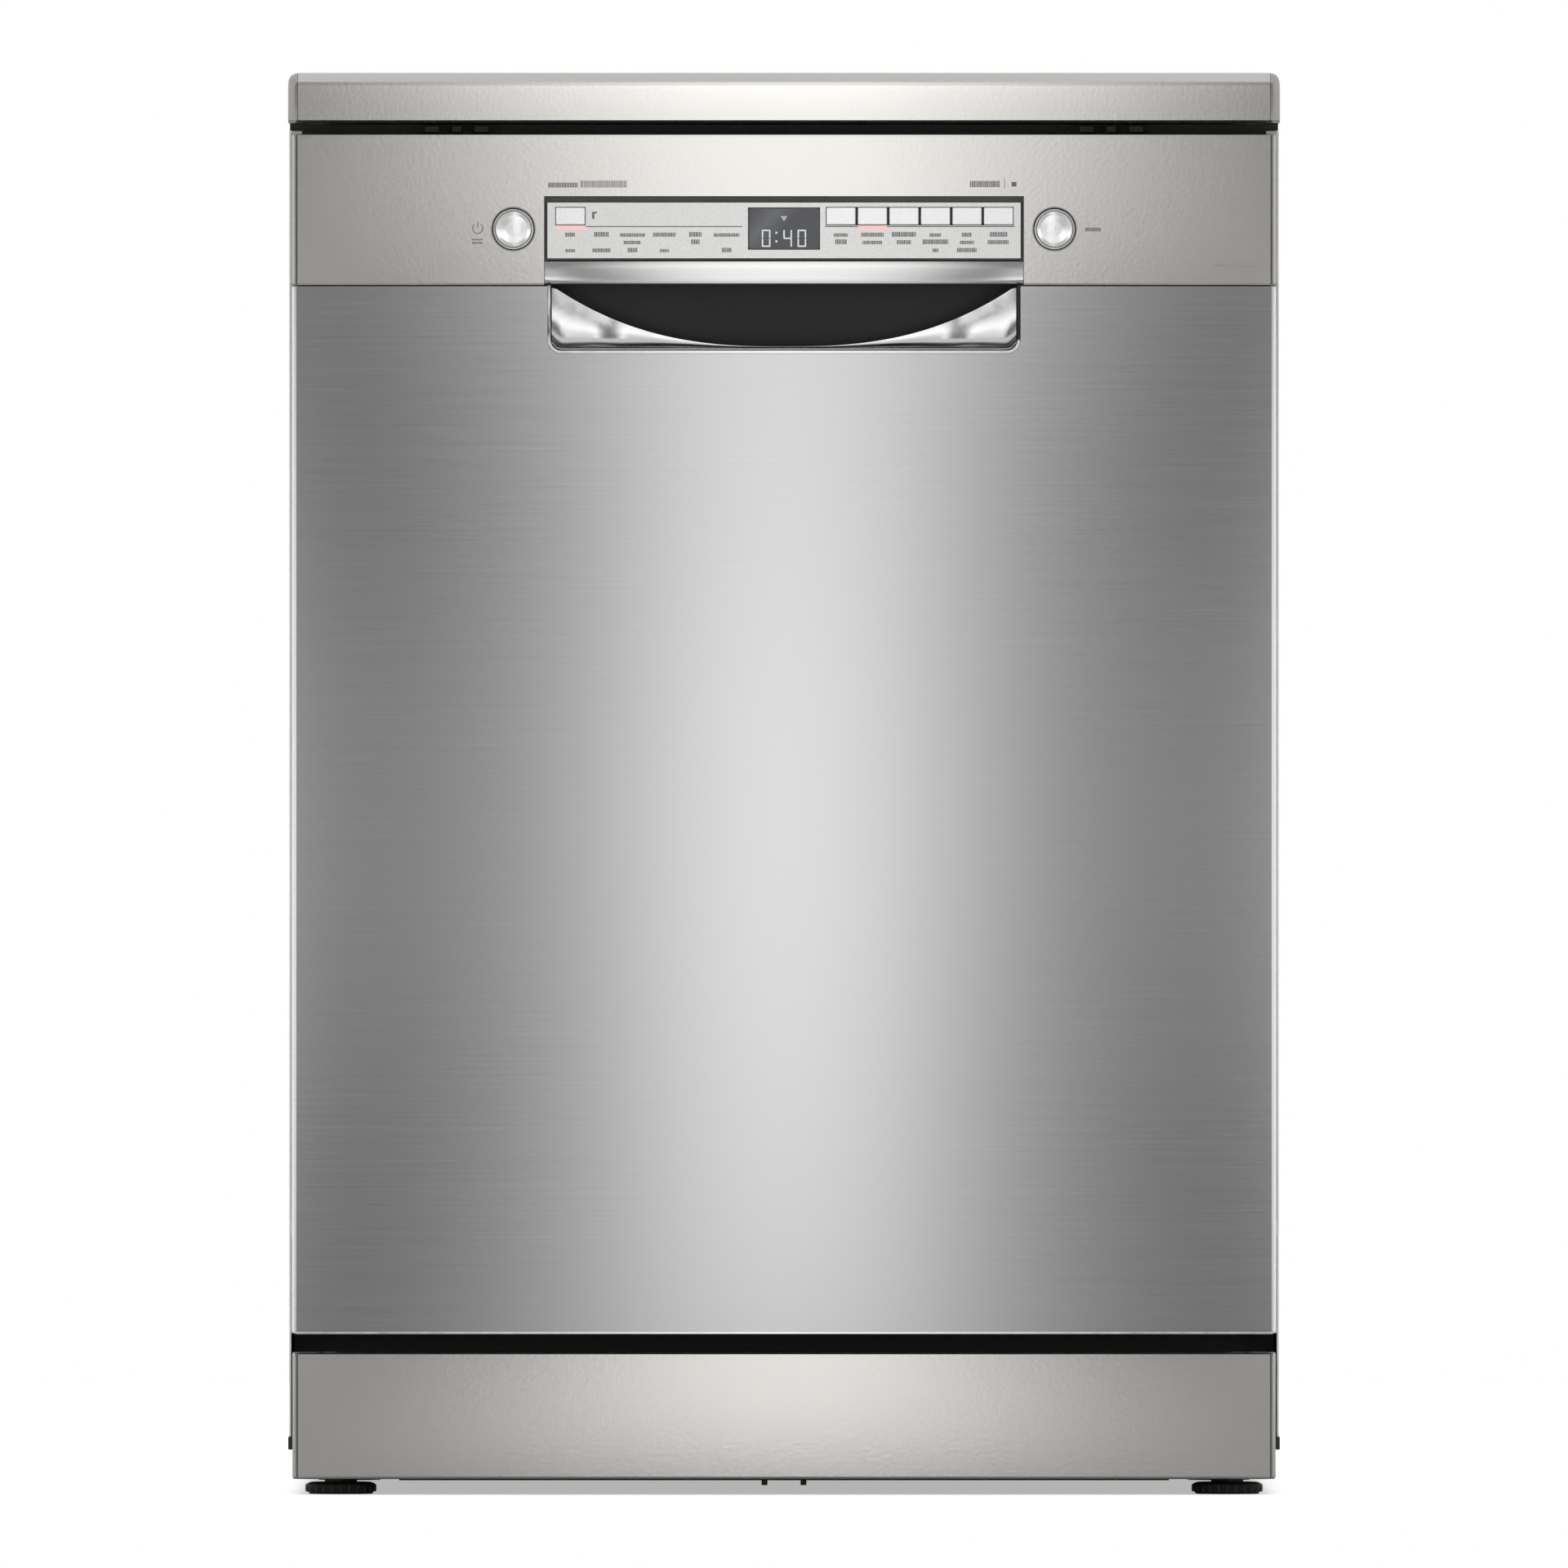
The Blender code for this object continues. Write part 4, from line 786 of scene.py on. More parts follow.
def rack_wires(name, node, body, levels, tine_rows, spacing, tine_height, tine_lean, half_x=None,
               floor_z=None):
    """A coated wire rack: bent U-wires both ways, rim and belt wires, and rows of tines on its floor."""
    low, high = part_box(node)
    wire, rim = 0.0014, 0.0020
    x0, x1, y0, y1 = low.x + rim, high.x - rim, low.y + rim, high.y - rim
    if half_x is not None:
        x0, x1 = -half_x, half_x
    z0, z1 = low.z + rim if floor_z is None else floor_z, high.z - rim
    flare = 0.006
    shape = Shape()
    count = round((x1 - x0) / spacing)
    for i in range(1, count):
        x = x0 + (x1 - x0) * i / count
        path = [(x, y0 + 0.001, z1), (x, y0 + flare, z0), (x, y1 - flare, z0), (x, y1 - 0.001, z1)]
        shape.tube(rounded_path(path, 0.014), wire)
    count = round((y1 - y0) / (spacing * 1.6))
    for i in range(1, count):
        y = y0 + (y1 - y0) * i / count
        path = [(x0 + 0.001, y, z1), (x0 + flare, y, z0 + 2 * wire), (x1 - flare, y, z0 + 2 * wire),
                (x1 - 0.001, y, z1)]
        shape.tube(rounded_path(path, 0.014), wire)
    for share, radius in levels:
        z = z0 + (z1 - z0) * share
        inset = flare * (1 - share)
        corners = [(x0 + inset, y0 + inset), (x1 - inset, y0 + inset), (x1 - inset, y1 - inset),
                   (x0 + inset, y1 - inset)]
        loop = [(*p, z) for p in corners]
        middle = ((x0 + x1) / 2, y0 + inset, z)
        path = rounded_path([middle] + loop[1:] + [loop[0], middle], 0.022, 5)
        shape.tube(path[:-1], radius, closed=True)
    for x, y_low, y_high in tine_rows:
        shape.tube([(x, y_low, z0 + 3 * wire), (x, y_high, z0 + 3 * wire)], wire)
        steps = round((y_high - y_low) / 0.026)
        for i in range(steps + 1):
            y = y_low + (y_high - y_low) * i / steps
            foot, tip = Vector((x, y, z0 + 3 * wire)), Vector((x, y + tine_lean, z0 + tine_height))
            shape.tube([foot, foot.lerp(tip, 0.5), tip], wire * 0.95, 6)
            shape.ball(tip, wire * 1.15)
    return shape.piece(name, body, "wire", replaces=[node], smooth_angle=60)


def rack_grip(name, body, y, z, width):
    """A moulded grip clipped on the rack's front wires."""
    outline = []
    for i in range(17):
        t = -1 + 2 * i / 16
        outline.append((width / 2 * t, z + 0.0095 - 0.0045 * abs(t) ** 3))
    for i in range(17):
        t = 1 - 2 * i / 16
        outline.append((width / 2 * t, z - 0.0095 + 0.0060 * (1 - t * t)))
    Shape().prism(outline, y - 0.0016, y + 0.0050).piece(name, body, "light", bevel=0.0012)
    plate = Shape()
    for i in range(5):
        x = width * (-0.28 + 0.14 * i)
        plate.box((x - 0.0065, y - 0.0021, z - 0.0012), (x + 0.0065, y - 0.0012, z + 0.0032))
    plate.piece(name + "_ribs", body, "grey", bevel=0.0003)


def upper_rack():
    rows = [(x, -0.165, 0.165) for x in (-0.045, 0.045)]
    rack_wires("upper_rack_wires", "upper_rack", "upper_rack", ((1.0, 0.0020), (0.48, 0.0014)), rows,
               0.028, 0.055, 0.006)
    low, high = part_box("upper_rack")
    rack_grip("upper_rack_grip", "upper_rack", low.y + 0.0006, high.z - 0.011, 0.150)
    for label, side in (("left", -1), ("right", 1)):
        shelf = Shape()
        inner, outer = sorted((side * 0.150, side * 0.244))
        for i in range(15):
            y = -0.130 + 0.260 * i / 14
            shelf.tube([(inner, y, 0.594), (outer, y, 0.586)], 0.0012, 6)
        for x, z in ((inner, 0.594 if side > 0 else 0.586), (outer, 0.586 if side > 0 else 0.594)):
            shelf.tube([(x, -0.132, z), (x, 0.132, z)], 0.0017)
        shelf.piece(f"cup_shelf_{label}", "upper_rack", "wire")
        clips = Shape()
        for y in (-0.090, 0.090):
            x_in, x_out = sorted((side * 0.2380, side * 0.2500))
            clips.box((x_in, y - 0.009, 0.576), (x_out, y + 0.009, 0.592))
        clips.piece(f"cup_shelf_clips_{label}", "upper_rack", "light", bevel=0.0015)
        carrier = Shape()
        x_in, x_out = sorted((side * 0.2545, side * 0.2566))
        carrier.box((x_in, -0.200, 0.556), (x_out, 0.200, 0.592))
        carrier.piece(f"rail_carrier_{label}", "upper_rack", "grey", bevel=0.0006)
    feed = Shape().rod((0, 0.020, 0.4965), (0, 0.020, 0.4990), 0.020)
    feed.piece("upper_arm_feed", "upper_rack", "grey", bevel=0.0006)


def lower_rack():
    rows = [(x, -0.180, 0.190) for x in (-0.210, -0.150, -0.090, -0.030, 0.030, 0.090)]
    rack_wires("lower_rack_wires", "lower_rack", "lower_rack",
               ((1.0, 0.0022), (0.62, 0.0014), (0.30, 0.0014)),
               rows, 0.028, 0.092, 0.010, half_x=0.2520, floor_z=0.2120)
    low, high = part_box("lower_rack")
    rack_grip("lower_rack_grip", "lower_rack", low.y + 0.0006, high.z - 0.011, 0.170)
    for end_name in ("front", "rear"):
        for side_name, side in (("left", -1), ("right", 1)):
            node = f"wheel_{end_name}_{side_name}"
            wheel_detail(node)
            c_low, c_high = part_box(node)
            y, z = (c_low.y + c_high.y) / 2, (c_low.z + c_high.z) / 2
            inner, outer = sorted((side * 0.2508, side * 0.2552))
            mount = Shape().box((inner, y - 0.010, z - 0.008), (outer, y + 0.010, 0.2150))
            start, end_x = sorted((side * 0.2530, side * 0.2682))
            mount.rod((start, y, z), (end_x, y, z), 0.0038)
            mount.piece(f"wheel_mount_{end_name}_{side_name}", "lower_rack", "light", bevel=0.0008)


def wheel_detail(node):
    """A moulded wheel: tyre ring, dished web with six lightening holes' ribs, and a hub."""
    low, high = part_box(node)
    centre = (low + high) / 2
    radius, half = (high.z - low.z) / 2, (high.x - low.x) / 2
    tyre = [(radius - 0.0045, half), (radius - 0.0008, half), (radius, half - 0.0010),
            (radius, 0.0010 - half),
            (radius - 0.0008, -half), (radius - 0.0045, -half)]
    web = [(0.0044, 0.0016), (radius - 0.0044, 0.0016), (radius - 0.0044, -0.0016), (0.0044, -0.0016)]
    hub = [(0.0043, half), (0.0080, half), (0.0085, 0.0015), (0.0085, -0.0015), (0.0080, -half),
           (0.0043, -half)]
    shape = Shape().ring(centre, (1, 0, 0), tyre).ring(centre, (1, 0, 0), web).ring(centre, (1, 0, 0), hub,
                                                                                    24)
    for i in range(6):
        angle = math.tau * i / 6
        away = Vector((0, math.cos(angle), math.sin(angle)))
        for reach in (0.0085, 0.0120):
            spot = centre + away * reach
            shape.ball(spot, 0.0022, (half * 0.8 / 0.0022, 1, 1))
    shape.piece(node + "_moulding", node, "light", replaces=[node])


def cutlery_basket():
    """A slotted basket with a lattice lid over half of it and a carrying handle."""
    low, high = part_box("cutlery_basket")
    shape, wall = Shape(), 0.0020
    x0, x1, y0, y1, z0, z1 = low.x, high.x, low.y, high.y, low.z, high.z
    for z_low, z_high in ((z0, z0 + 0.006), (z0 + 0.056, z0 + 0.060), (z1 - 0.008, z1)):
        for a, b in (((x0, y0), (x1, y0 + wall)), ((x0, y1 - wall), (x1, y1)), ((x0, y0), (x0 + wall, y1)),
                     ((x1 - wall, y0), (x1, y1))):
            shape.box((*a, z_low), (*b, z_high))
    for i in range(31):
        y = y0 + wall / 2 + (y1 - y0 - wall) * i / 30
        for x in (x0, x1 - wall):
            shape.box((x + 0.0003, y - 0.0014, z0 + 0.003), (x + wall - 0.0003, y + 0.0014, z1 - 0.003))
    for i in range(16):
        x = x0 + wall / 2 + (x1 - x0 - wall) * i / 15
        for y in (y0, y1 - wall):
            shape.box((x - 0.0014, y + 0.0003, z0 + 0.003), (x + 0.0014, y + wall - 0.0003, z1 - 0.003))
        shape.box((x - 0.0011, y0, z0 + 0.0010), (x + 0.0011, y1, z0 + 0.0030))
    for i in range(1, 20):
        y = y0 + (y1 - y0) * i / 20
        shape.box((x0, y - 0.0011, z0 + 0.0005), (x1, y + 0.0011, z0 + 0.0025))
    for share in (1 / 3, 2 / 3):
        y = y0 + (y1 - y0) * share
        shape.box((x0 + 0.001, y - 0.0009, z0 + 0.003), (x1 - 0.001, y + 0.0009, z1 - 0.012))
    for i in range(1, 7):
        x = x0 + (x1 - x0) * i / 7
        shape.box((x - 0.0014, y0 + 0.001, z1 - 0.0030), (x + 0.0014, y0 + (y1 - y0) * 0.5, z1 - 0.0010))
    for i in range(0, 8):
        y = y0 + (y1 - y0) * 0.5 * i / 7
        shape.box((x0 + 0.001, y - 0.0014 + 0.0016, z1 - 0.0030),
                  (x1 - 0.001, y + 0.0014 + 0.0016, z1 - 0.0010))
    shape.piece("cutlery_basket_lattice", "lower_rack", "grey", replaces=["cutlery_basket"])
    middle = (x0 + x1) / 2
    path = rounded_path([(middle, y0 + 0.030, z1 - 0.010), (middle, y0 + 0.045, z1 + 0.030),
                         (middle, y1 - 0.045, z1 + 0.030), (middle, y1 - 0.030, z1 - 0.010)], 0.020)
    handle = Shape().tube(path, 0.0042, 10)
    for y in (y0 + 0.030, y1 - 0.030):
        handle.box((x0 + 0.002, y - 0.003, z1 - 0.014), (x1 - 0.002, y + 0.003, z1 - 0.006))
    handle.piece("basket_handle", "lower_rack", "dark", bevel=0.0008)


# ---------------------------------------------------------------- spray arms and filters


def spray_arm(node, body):
    """A hollow two-part arm: swept body with a seam, raised jets on top, and a ribbed hub nut."""
    low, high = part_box(node)
    centre_y = (low.y + high.y) / 2
    reach = high.x
    bottom = {"lower_spray_arm": 0.1880, "upper_spray_arm": 0.4780}[node]
    rings = []
    for i in range(33):
        t = -1 + 2 * i / 32
        x = t * (reach - 0.0004)
        taper = math.sqrt(max(1 - t**8, 0.0))
        half = max((0.0235 - 0.0100 * min(abs(t) * 1.6, 1.0)) * taper, 0.0012)
        sway = 0.0020 * math.sin(math.pi * t)
        top = bottom + 0.0098 - 0.0010 * abs(t)
        crown = 0.0028
        section = [(-half, bottom + 0.0012), (-half * 0.93, bottom), (half * 0.93, bottom),
                   (half, bottom + 0.0012),
                   (half, top - crown), (half * 0.82, top - 0.0008), (half * 0.4, top), (-half * 0.4, top),
                   (-half * 0.82, top - 0.0008), (-half, top - crown)]
        rings.append([(x, centre_y + sway + y, z) for y, z in section])
    Shape().loft(rings).piece(node + "_body", body, "arm", replaces=[node], smooth_angle=40)
    hub = Shape()
    hub_low, hub_high = low.z, high.z
    turn_in = 0.0146
    outline = [(turn_in, hub_high - 0.0015), (0.0250, hub_high - 0.0004), (0.0285, hub_high - 0.0022),
               (0.0290, hub_low + 0.0020), (0.0270, hub_low + 0.0002), (turn_in, hub_low + 0.0002)]
    hub.ring((0, centre_y, 0), (0, 0, 1), outline, 40)
    for i in range(16):
        angle = math.tau * i / 16
        spot = Vector((0.0286 * math.cos(angle), centre_y + 0.0286 * math.sin(angle), 0))
        hub.rod(spot + Vector((0, 0, hub_low + 0.002)), spot + Vector((0, 0, hub_high - 0.003)), 0.0014,
                sides=8)
    hub.rod((0, centre_y, hub_high - 0.0040), (0, centre_y, hub_high - 0.0012), 0.0150, 0.0140)
    hub.piece(node + "_hub", body, "grey")
    jets, rims = Shape(), Shape()
    for i, share in enumerate((-0.93, -0.80, -0.66, -0.50, -0.34, 0.30, 0.44, 0.58, 0.72, 0.86, 0.95)):
        x = reach * share
        y = centre_y + (0.0035 if i % 2 else -0.0035) + 0.0020 * math.sin(math.pi * share)
        top = bottom + 0.0098 - 0.0010 * abs(share)
        rims.ring((x, y, top), (0, 0, 1),
                  [(0.0022, 0.0011), (0.0036, 0.0007), (0.0042, -0.001), (0.0022, -0.001)], 16)
        jets.box((x - 0.0016, y - 0.0008, top - 0.0002), (x + 0.0016, y + 0.0008, top + 0.0003))
    rims.piece(node + "_jet_rims", body, "arm")
    # painted shade: the jets are black blocks standing in for the dark of the jet holes
    jets.piece(node + "_jets", body, "black")


def filters():
    """Rim and grip of the coarse filter, with its mesh, and the fine filter's pressed rings."""
    low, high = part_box("coarse_filter")
    centre = Vector(((low.x + high.x) / 2, (low.y + high.y) / 2, 0))
    radius = (high.x - low.x) / 2
    rim = [(radius - 0.0042, 0.1722), (radius - 0.0008, 0.1722), (radius, 0.1714), (radius, 0.1690),
           (radius - 0.0042, 0.1690)]
    top = Shape().ring(centre, (0, 0, 1), rim)
    top.box((centre.x - radius + 0.002, centre.y - 0.0028, 0.1700),
            (centre.x + radius - 0.002, centre.y + 0.0028, 0.1772))
    top.piece("coarse_filter_grip", "coarse_filter", "light", bevel=0.0006)
    sump_centre = (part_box("fine_filter")[0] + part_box("fine_filter")[1]) / 2
    z = TUB_FLOOR + 0.0006
    rings = Shape()
    r = 0.0965
    rim = [(r - 0.002, 0.0006), (r, 0.0002), (r, -0.0008), (r - 0.002, -0.0008)]
    rings.ring((sump_centre.x, sump_centre.y, z), (0, 0, 1), rim, 64)
    rings.ring((0, sump_centre.y, 0), (0, 0, 1),
               [(0.0120, 0.1790), (0.0150, 0.1776), (0.0175, z), (0.0120, z)], 32)
    rings.piece("fine_filter_rings", "root", "light")


TUB_FLOOR = 0.168

upper_rack()
lower_rack()
cutlery_basket()
spray_arm("lower_spray_arm", "lower_spray_arm")
spray_arm("upper_spray_arm", "upper_spray_arm")
filters()

# ---------------------------------------------------------------- tub, seal and rails


def screw(shape, place, out, radius=0.0038):
    """A pan-head screw with a cross recess, standing on a surface along out."""
    place, out = Vector(place), Vector(out)
    shape.ring(place, out, [(0.0011, 0.0013), (radius * 0.62, 0.0018), (radius, 0.0006), (radius, -0.0006),
                            (0.0011, -0.0006)], 18)
    shape.rod(place - out * 0.0004, place + out * 0.0007, 0.0012, sides=8)
    return shape


def seal_lip():
    """The mouth's moulded seal: a hollow bulb with two lips, replacing its plain ring."""
    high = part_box("tub_seal")[1]
    middle_x, z_low, z_high = 0.2803, 0.1595, 0.8130
    profile = [(-0.0052, 0.0003), (-0.0052, 0.0008), (-0.0030, 0.0013), (-0.0010, 0.0026), (0.0012, 0.0026),
               (0.0034, 0.0013), (0.0054, 0.0008), (0.0054, 0.0003)]
    rings = []
    corners = ((-1, z_low, 180), (1, z_low, 270), (1, z_high, 0), (-1, z_high, 90))
    r = 0.006
    for side, z, start in corners:
        up = 1 if z == z_low else -1
        for i in range(5):
            angle = math.radians(start + 90 * i / 4)
            away = Vector((math.cos(angle), 0, math.sin(angle)))
            centre = Vector((side * (middle_x - r), 0, z + up * r)) + away * r
            rings.append([(centre.x + away.x * p, high.y - q, centre.z + away.z * p) for p, q in profile])
    shape = Shape().loft(rings, closed=True)
    return shape.piece("seal_bulb", "root", "rubber", replaces=["tub_seal"], smooth_angle=60)


def tub_pressings():
    """Raised beads pressed into the tub's walls and floor."""
    beads = Shape()
    inner = 0.2720
    for side in (-1, 1):
        x_in, x_out = sorted((side * (inner - 0.0016), side * (inner + 0.0004)))
        for y in (-0.150, -0.050, 0.050, 0.150):
            for z_low, z_high in ((0.230, 0.520), (0.620, 0.770)):
                beads.box((x_in, y - 0.011, z_low), (x_out, y + 0.011, z_high))
    for x in (-0.190, -0.100, 0.100, 0.190):
        for z_low, z_high in ((0.230, 0.480), (0.520, 0.770)):
            beads.box((x - 0.013, 0.2604, z_low), (x + 0.013, 0.2624, z_high))
    beads.piece("wall_beads", "root", "tub", bevel=0.0012, segments=3)
    floor = Shape()
    z = TUB_FLOOR
    centre = (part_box("fine_filter")[0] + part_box("fine_filter")[1]) / 2
    floor.ring((centre.x, centre.y, z), (0, 0, 1), [(0.1010, 0.0011), (0.1050, 0.0014), (0.1100, 0.0002),
                                                    (0.1100, -0.0006), (0.1010, -0.0006)], 64)
    for side in (-1, 1):
        for y in (-0.190, 0.205):
            inner_x, outer_x = sorted((side * 0.060, side * 0.220))
            floor.box((inner_x, y - 0.008, z - 0.0004), (outer_x, y + 0.008, z + 0.0011))
    floor.piece("floor_pressings", "root", "tub", bevel=0.0008)
    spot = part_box("salt_cap")
    cx, cy = (spot[0].x + spot[1].x) / 2, (spot[0].y + spot[1].y) / 2
    collar = Shape().ring((cx, cy, z), (0, 0, 1), [(0.0350, 0.0020), (0.0395, 0.0016), (0.0410, 0.0002),
                                                   (0.0410, -0.0006), (0.0350, -0.0006)], 48)
    collar.piece("salt_collar", "root", "light")
    knurl = Shape()
    for i in range(28):
        angle = math.tau * i / 28
        spot = Vector((cx + 0.0338 * math.cos(angle), cy + 0.0338 * math.sin(angle), 0))
        knurl.rod(spot + Vector((0, 0, 0.1702)), spot + Vector((0, 0, 0.1800)), 0.0010, sides=8)
    knurl.piece("salt_cap_knurl", "salt_cap", "white")


def rails():
    """Fixed outer tracks on the tub's walls, end caps and rollers of the telescopic rails."""
    tracks, caps, rollers = Shape(), Shape(), Shape()
    for side in (-1, 1):
        for z_low, z_high, reach in ((0.5583, 0.5818, 0.2703), (0.5583, 0.5595, 0.2655),
                                     (0.5806, 0.5818, 0.2655)):
            x_in, x_out = sorted((side * reach, side * 0.2719))
            tracks.box((x_in, -0.2385, z_low), (x_out, 0.2480, z_high))
        x_in, x_out = sorted((side * 0.2572, side * 0.2700))
        caps.box((x_in, -0.2385, 0.5598), (x_out, -0.2350, 0.5802))
        x_in, x_out = sorted((side * 0.2560, side * 0.2612))
        for y in (0.060, 0.190):
            rollers.rod((x_in, y, 0.570), (x_out, y, 0.570), 0.0038, sides=20)
    tracks.piece("rail_tracks", "root", "zinc", bevel=0.0003)
    caps.piece("rail_caps", "rack_rails", "light", bevel=0.0010)
    rollers.piece("rack_rollers", "upper_rack", "white")


def feed_fittings():
    """Clips and docking sleeve on the feed pipe, and the upper arm's own feed tube under its rack."""
    fixed = Shape()
    y = 0.2385
    for z in (0.240, 0.400, 0.640, 0.740):
        fixed.ring((0, y, z), (0, 0, 1),
                   [(0.0078, 0.0060), (0.0104, 0.0052), (0.0104, -0.0052), (0.0078, -0.0060)], 28)
        fixed.box((-0.006, y + 0.007, z - 0.005), (0.006, 0.2618, z + 0.005))
    fixed.ring((0, y, 0.512), (0, 0, 1),
               [(0.0078, 0.0180), (0.0112, 0.0150), (0.0112, -0.0150), (0.0078, -0.0180)], 28)
    fixed.piece("pipe_clips", "root", "grey", bevel=0.0006)
    nozzles = Shape()
    for i in range(10):
        angle = math.tau * i / 10
        nozzles.rod((0.016 * math.cos(angle), 0.020 + 0.016 * math.sin(angle), 0.7752),
                    (0.016 * math.cos(angle), 0.020 + 0.016 * math.sin(angle), 0.7764), 0.0016, sides=10)
    # painted shade: black discs for the dark of the ceiling's jet holes
    nozzles.piece("ceiling_jets", "root", "black")
    carried = Shape()
    route = rounded_path([(0, 0.020, 0.4990), (0, 0.020, 0.5180), (0, 0.2180, 0.5180)], 0.010, 5)
    carried.tube(route, 0.0072, 14)
    carried.ring((0, 0.2170, 0.5180), (0, 1, 0),
                 [(0.0050, 0.0075), (0.0110, 0.0075), (0.0110, 0.0045), (0.0074, -0.0040),
                                                  (0.0050, -0.0040)], 28)
    carried.piece("upper_feed_tube", "upper_rack", "grey")


def latch():
    """The hook under the tub's ceiling and the mouth in the door that takes it."""
    hook = Shape().box((-0.0075, -0.2470, 0.7790), (0.0075, -0.2455, 0.8055))
    hook.box((-0.0075, -0.2470, 0.8040), (0.0075, -0.2300, 0.8058))
    hook.piece("latch_hook", "root", "zinc", bevel=0.0005)
    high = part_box("door_liner")[1]
    mouth = Shape()
    z_low, z_high, y = 0.7735, 0.7885, high.y
    mouth.box((-0.0165, y - 0.0004, z_low), (0.0165, y + 0.0010, z_high))
    mouth.piece("latch_plate", "door", "dark", bevel=0.0007)
    # painted shade: a black block for the dark inside of the latch mouth
    slot = Shape().box((-0.0105, y + 0.0002, z_low + 0.0040), (0.0105, y + 0.0012, z_high - 0.0040))
    slot.piece("latch_mouth", "door", "black", bevel=0.0003)


def liner_pressings():
    """Raised fields and a border bead in the inner door, and its screws."""
    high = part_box("door_liner")[1]
    y_back, y_front = high.y - 0.0005, high.y + 0.0018
    fields = Shape()
    half = 0.238
    for z_low, z_high in ((0.200, 0.300), (0.322, 0.462), (0.628, 0.748)):
        fields.prism(rounded_rectangle(half, z_low, z_high, 0.018), y_back, y_front)
    fields.piece("liner_fields", "door", "tub", bevel=0.0016, segments=3)
    border = Shape()
    path = rounded_path([(0, high.y, 0.1780), (0.2660, high.y, 0.1780), (0.2660, high.y, 0.7990),
                         (-0.2660, high.y, 0.7990),
                         (-0.2660, high.y, 0.1780), (0, high.y, 0.1780)], 0.016, 6)
    border.tube(path[:-1], 0.0016, 8, closed=True)
    border.piece("liner_bead", "door", "tub")
    screws = Shape()
    for side in (-1, 1):
        for z in (0.225, 0.390, 0.545, 0.700, 0.780):
            screw(screws, (side * 0.2525, high.y, z), (0, 1, 0))
    screws.piece("liner_screws", "door", "zinc")


def dispenser():
    """Lid ribs and catch, measuring marks, and the filler's rim and pointer."""
    low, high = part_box("dispenser_housing")
    face = high.y
    trim = Shape()
    outline = rounded_rectangle(high.x - 0.001, low.z + 0.001, high.z - 0.001, 0.006)
    inner = rounded_rectangle(high.x - 0.0042, low.z + 0.0062, high.z - 0.0062, 0.004)
    rings = [[(x, face - 0.0004, z) for x, z in outline], [(x, face + 0.0007, z) for x, z in outline],
             [(x, face + 0.0007, z) for x, z in inner], [(x, face - 0.0004, z) for x, z in inner]]
    trim.loft([list(section) for section in zip(*rings)], closed=True)
    trim.piece("dispenser_rim", "door", "light")
    lid_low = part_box("detergent_lid")[0]
    lid_face = -0.2510
    ribs = Shape()
    for i in range(9):
        z = 0.506 + 0.078 * i / 8
        ribs.box((lid_low.x + 0.006, lid_face - 0.0002, z - 0.0009),
                 (lid_low.x + 0.036, lid_face + 0.0006, z + 0.0009))
    ribs.piece("lid_ribs", "detergent_lid", "dark", bevel=0.0003)
    catch = Shape().box((-0.0150, TRACK_FACE - 0.0002, 0.5935), (0.0120, TRACK_FACE + 0.0018, 0.5985))
    catch.piece("lid_catch", "door", "dark", bevel=0.0008)
    marks = Shape()
    for i in range(6):
        angle = math.radians(40 + 50 * i)
        x, z = 0.064 + 0.0208 * math.cos(angle), 0.545 + 0.0208 * math.sin(angle)
        marks.ball((x, TRACK_FACE + 0.0001, z), 0.0011, (1, 0.3, 1))
    marks.piece("filler_marks", "door", "black")
    grip = Shape()
    for i in range(20):
        angle = math.tau * i / 20
        x, z = 0.064 + 0.0172 * math.cos(angle), 0.545 + 0.0172 * math.sin(angle)
        grip.rod((x, -0.2530, z), (x, -0.2504, z), 0.0008, sides=8)
    grip.piece("rinse_cap_knurl", "rinse_aid_cap", "white")


TRACK_FACE = -0.2535

seal_lip()
tub_pressings()
rails()
feed_fittings()
latch()
liner_pressings()
dispenser()

# ---------------------------------------------------------------- sides, rear and underside


def side_details():
    """Folded edge and rear screws of each side panel, and the plug at its front foot."""
    for label, side in (("left", -1), ("right", 1)):
        low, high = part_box(f"side_panel_{label}")
        face = high.x if side > 0 else low.x
        fold = Shape()
        x_in, x_out = sorted((side * 0.2984, face))
        fold.box((x_in, low.y - 0.0001, low.z), (x_out + 0.0001, low.y + 0.0012, high.z))
        # painted highlight: near-white lacquer lightens the fold, which lies in shade
        fold.piece(f"side_fold_{label}", "root", "painted_highlight_edge", bevel=0.0003)
        plug = Shape()
        x_in, x_out = sorted((side * 0.2975, side * 0.3002))
        plug.box((x_in, low.y - 0.0050, 0.0270), (x_out, low.y + 0.0060, 0.0350))
        plug.piece(f"side_plug_{label}", "root", "black", bevel=0.0006)
        screws = Shape()
        for z in (0.060, 0.250, 0.440, 0.630, 0.800):
            screw(screws, (side * 0.2935, high.y, z), (0, 1, 0), 0.0036)
        screws.piece(f"rear_screws_{label}", "root", "zinc")


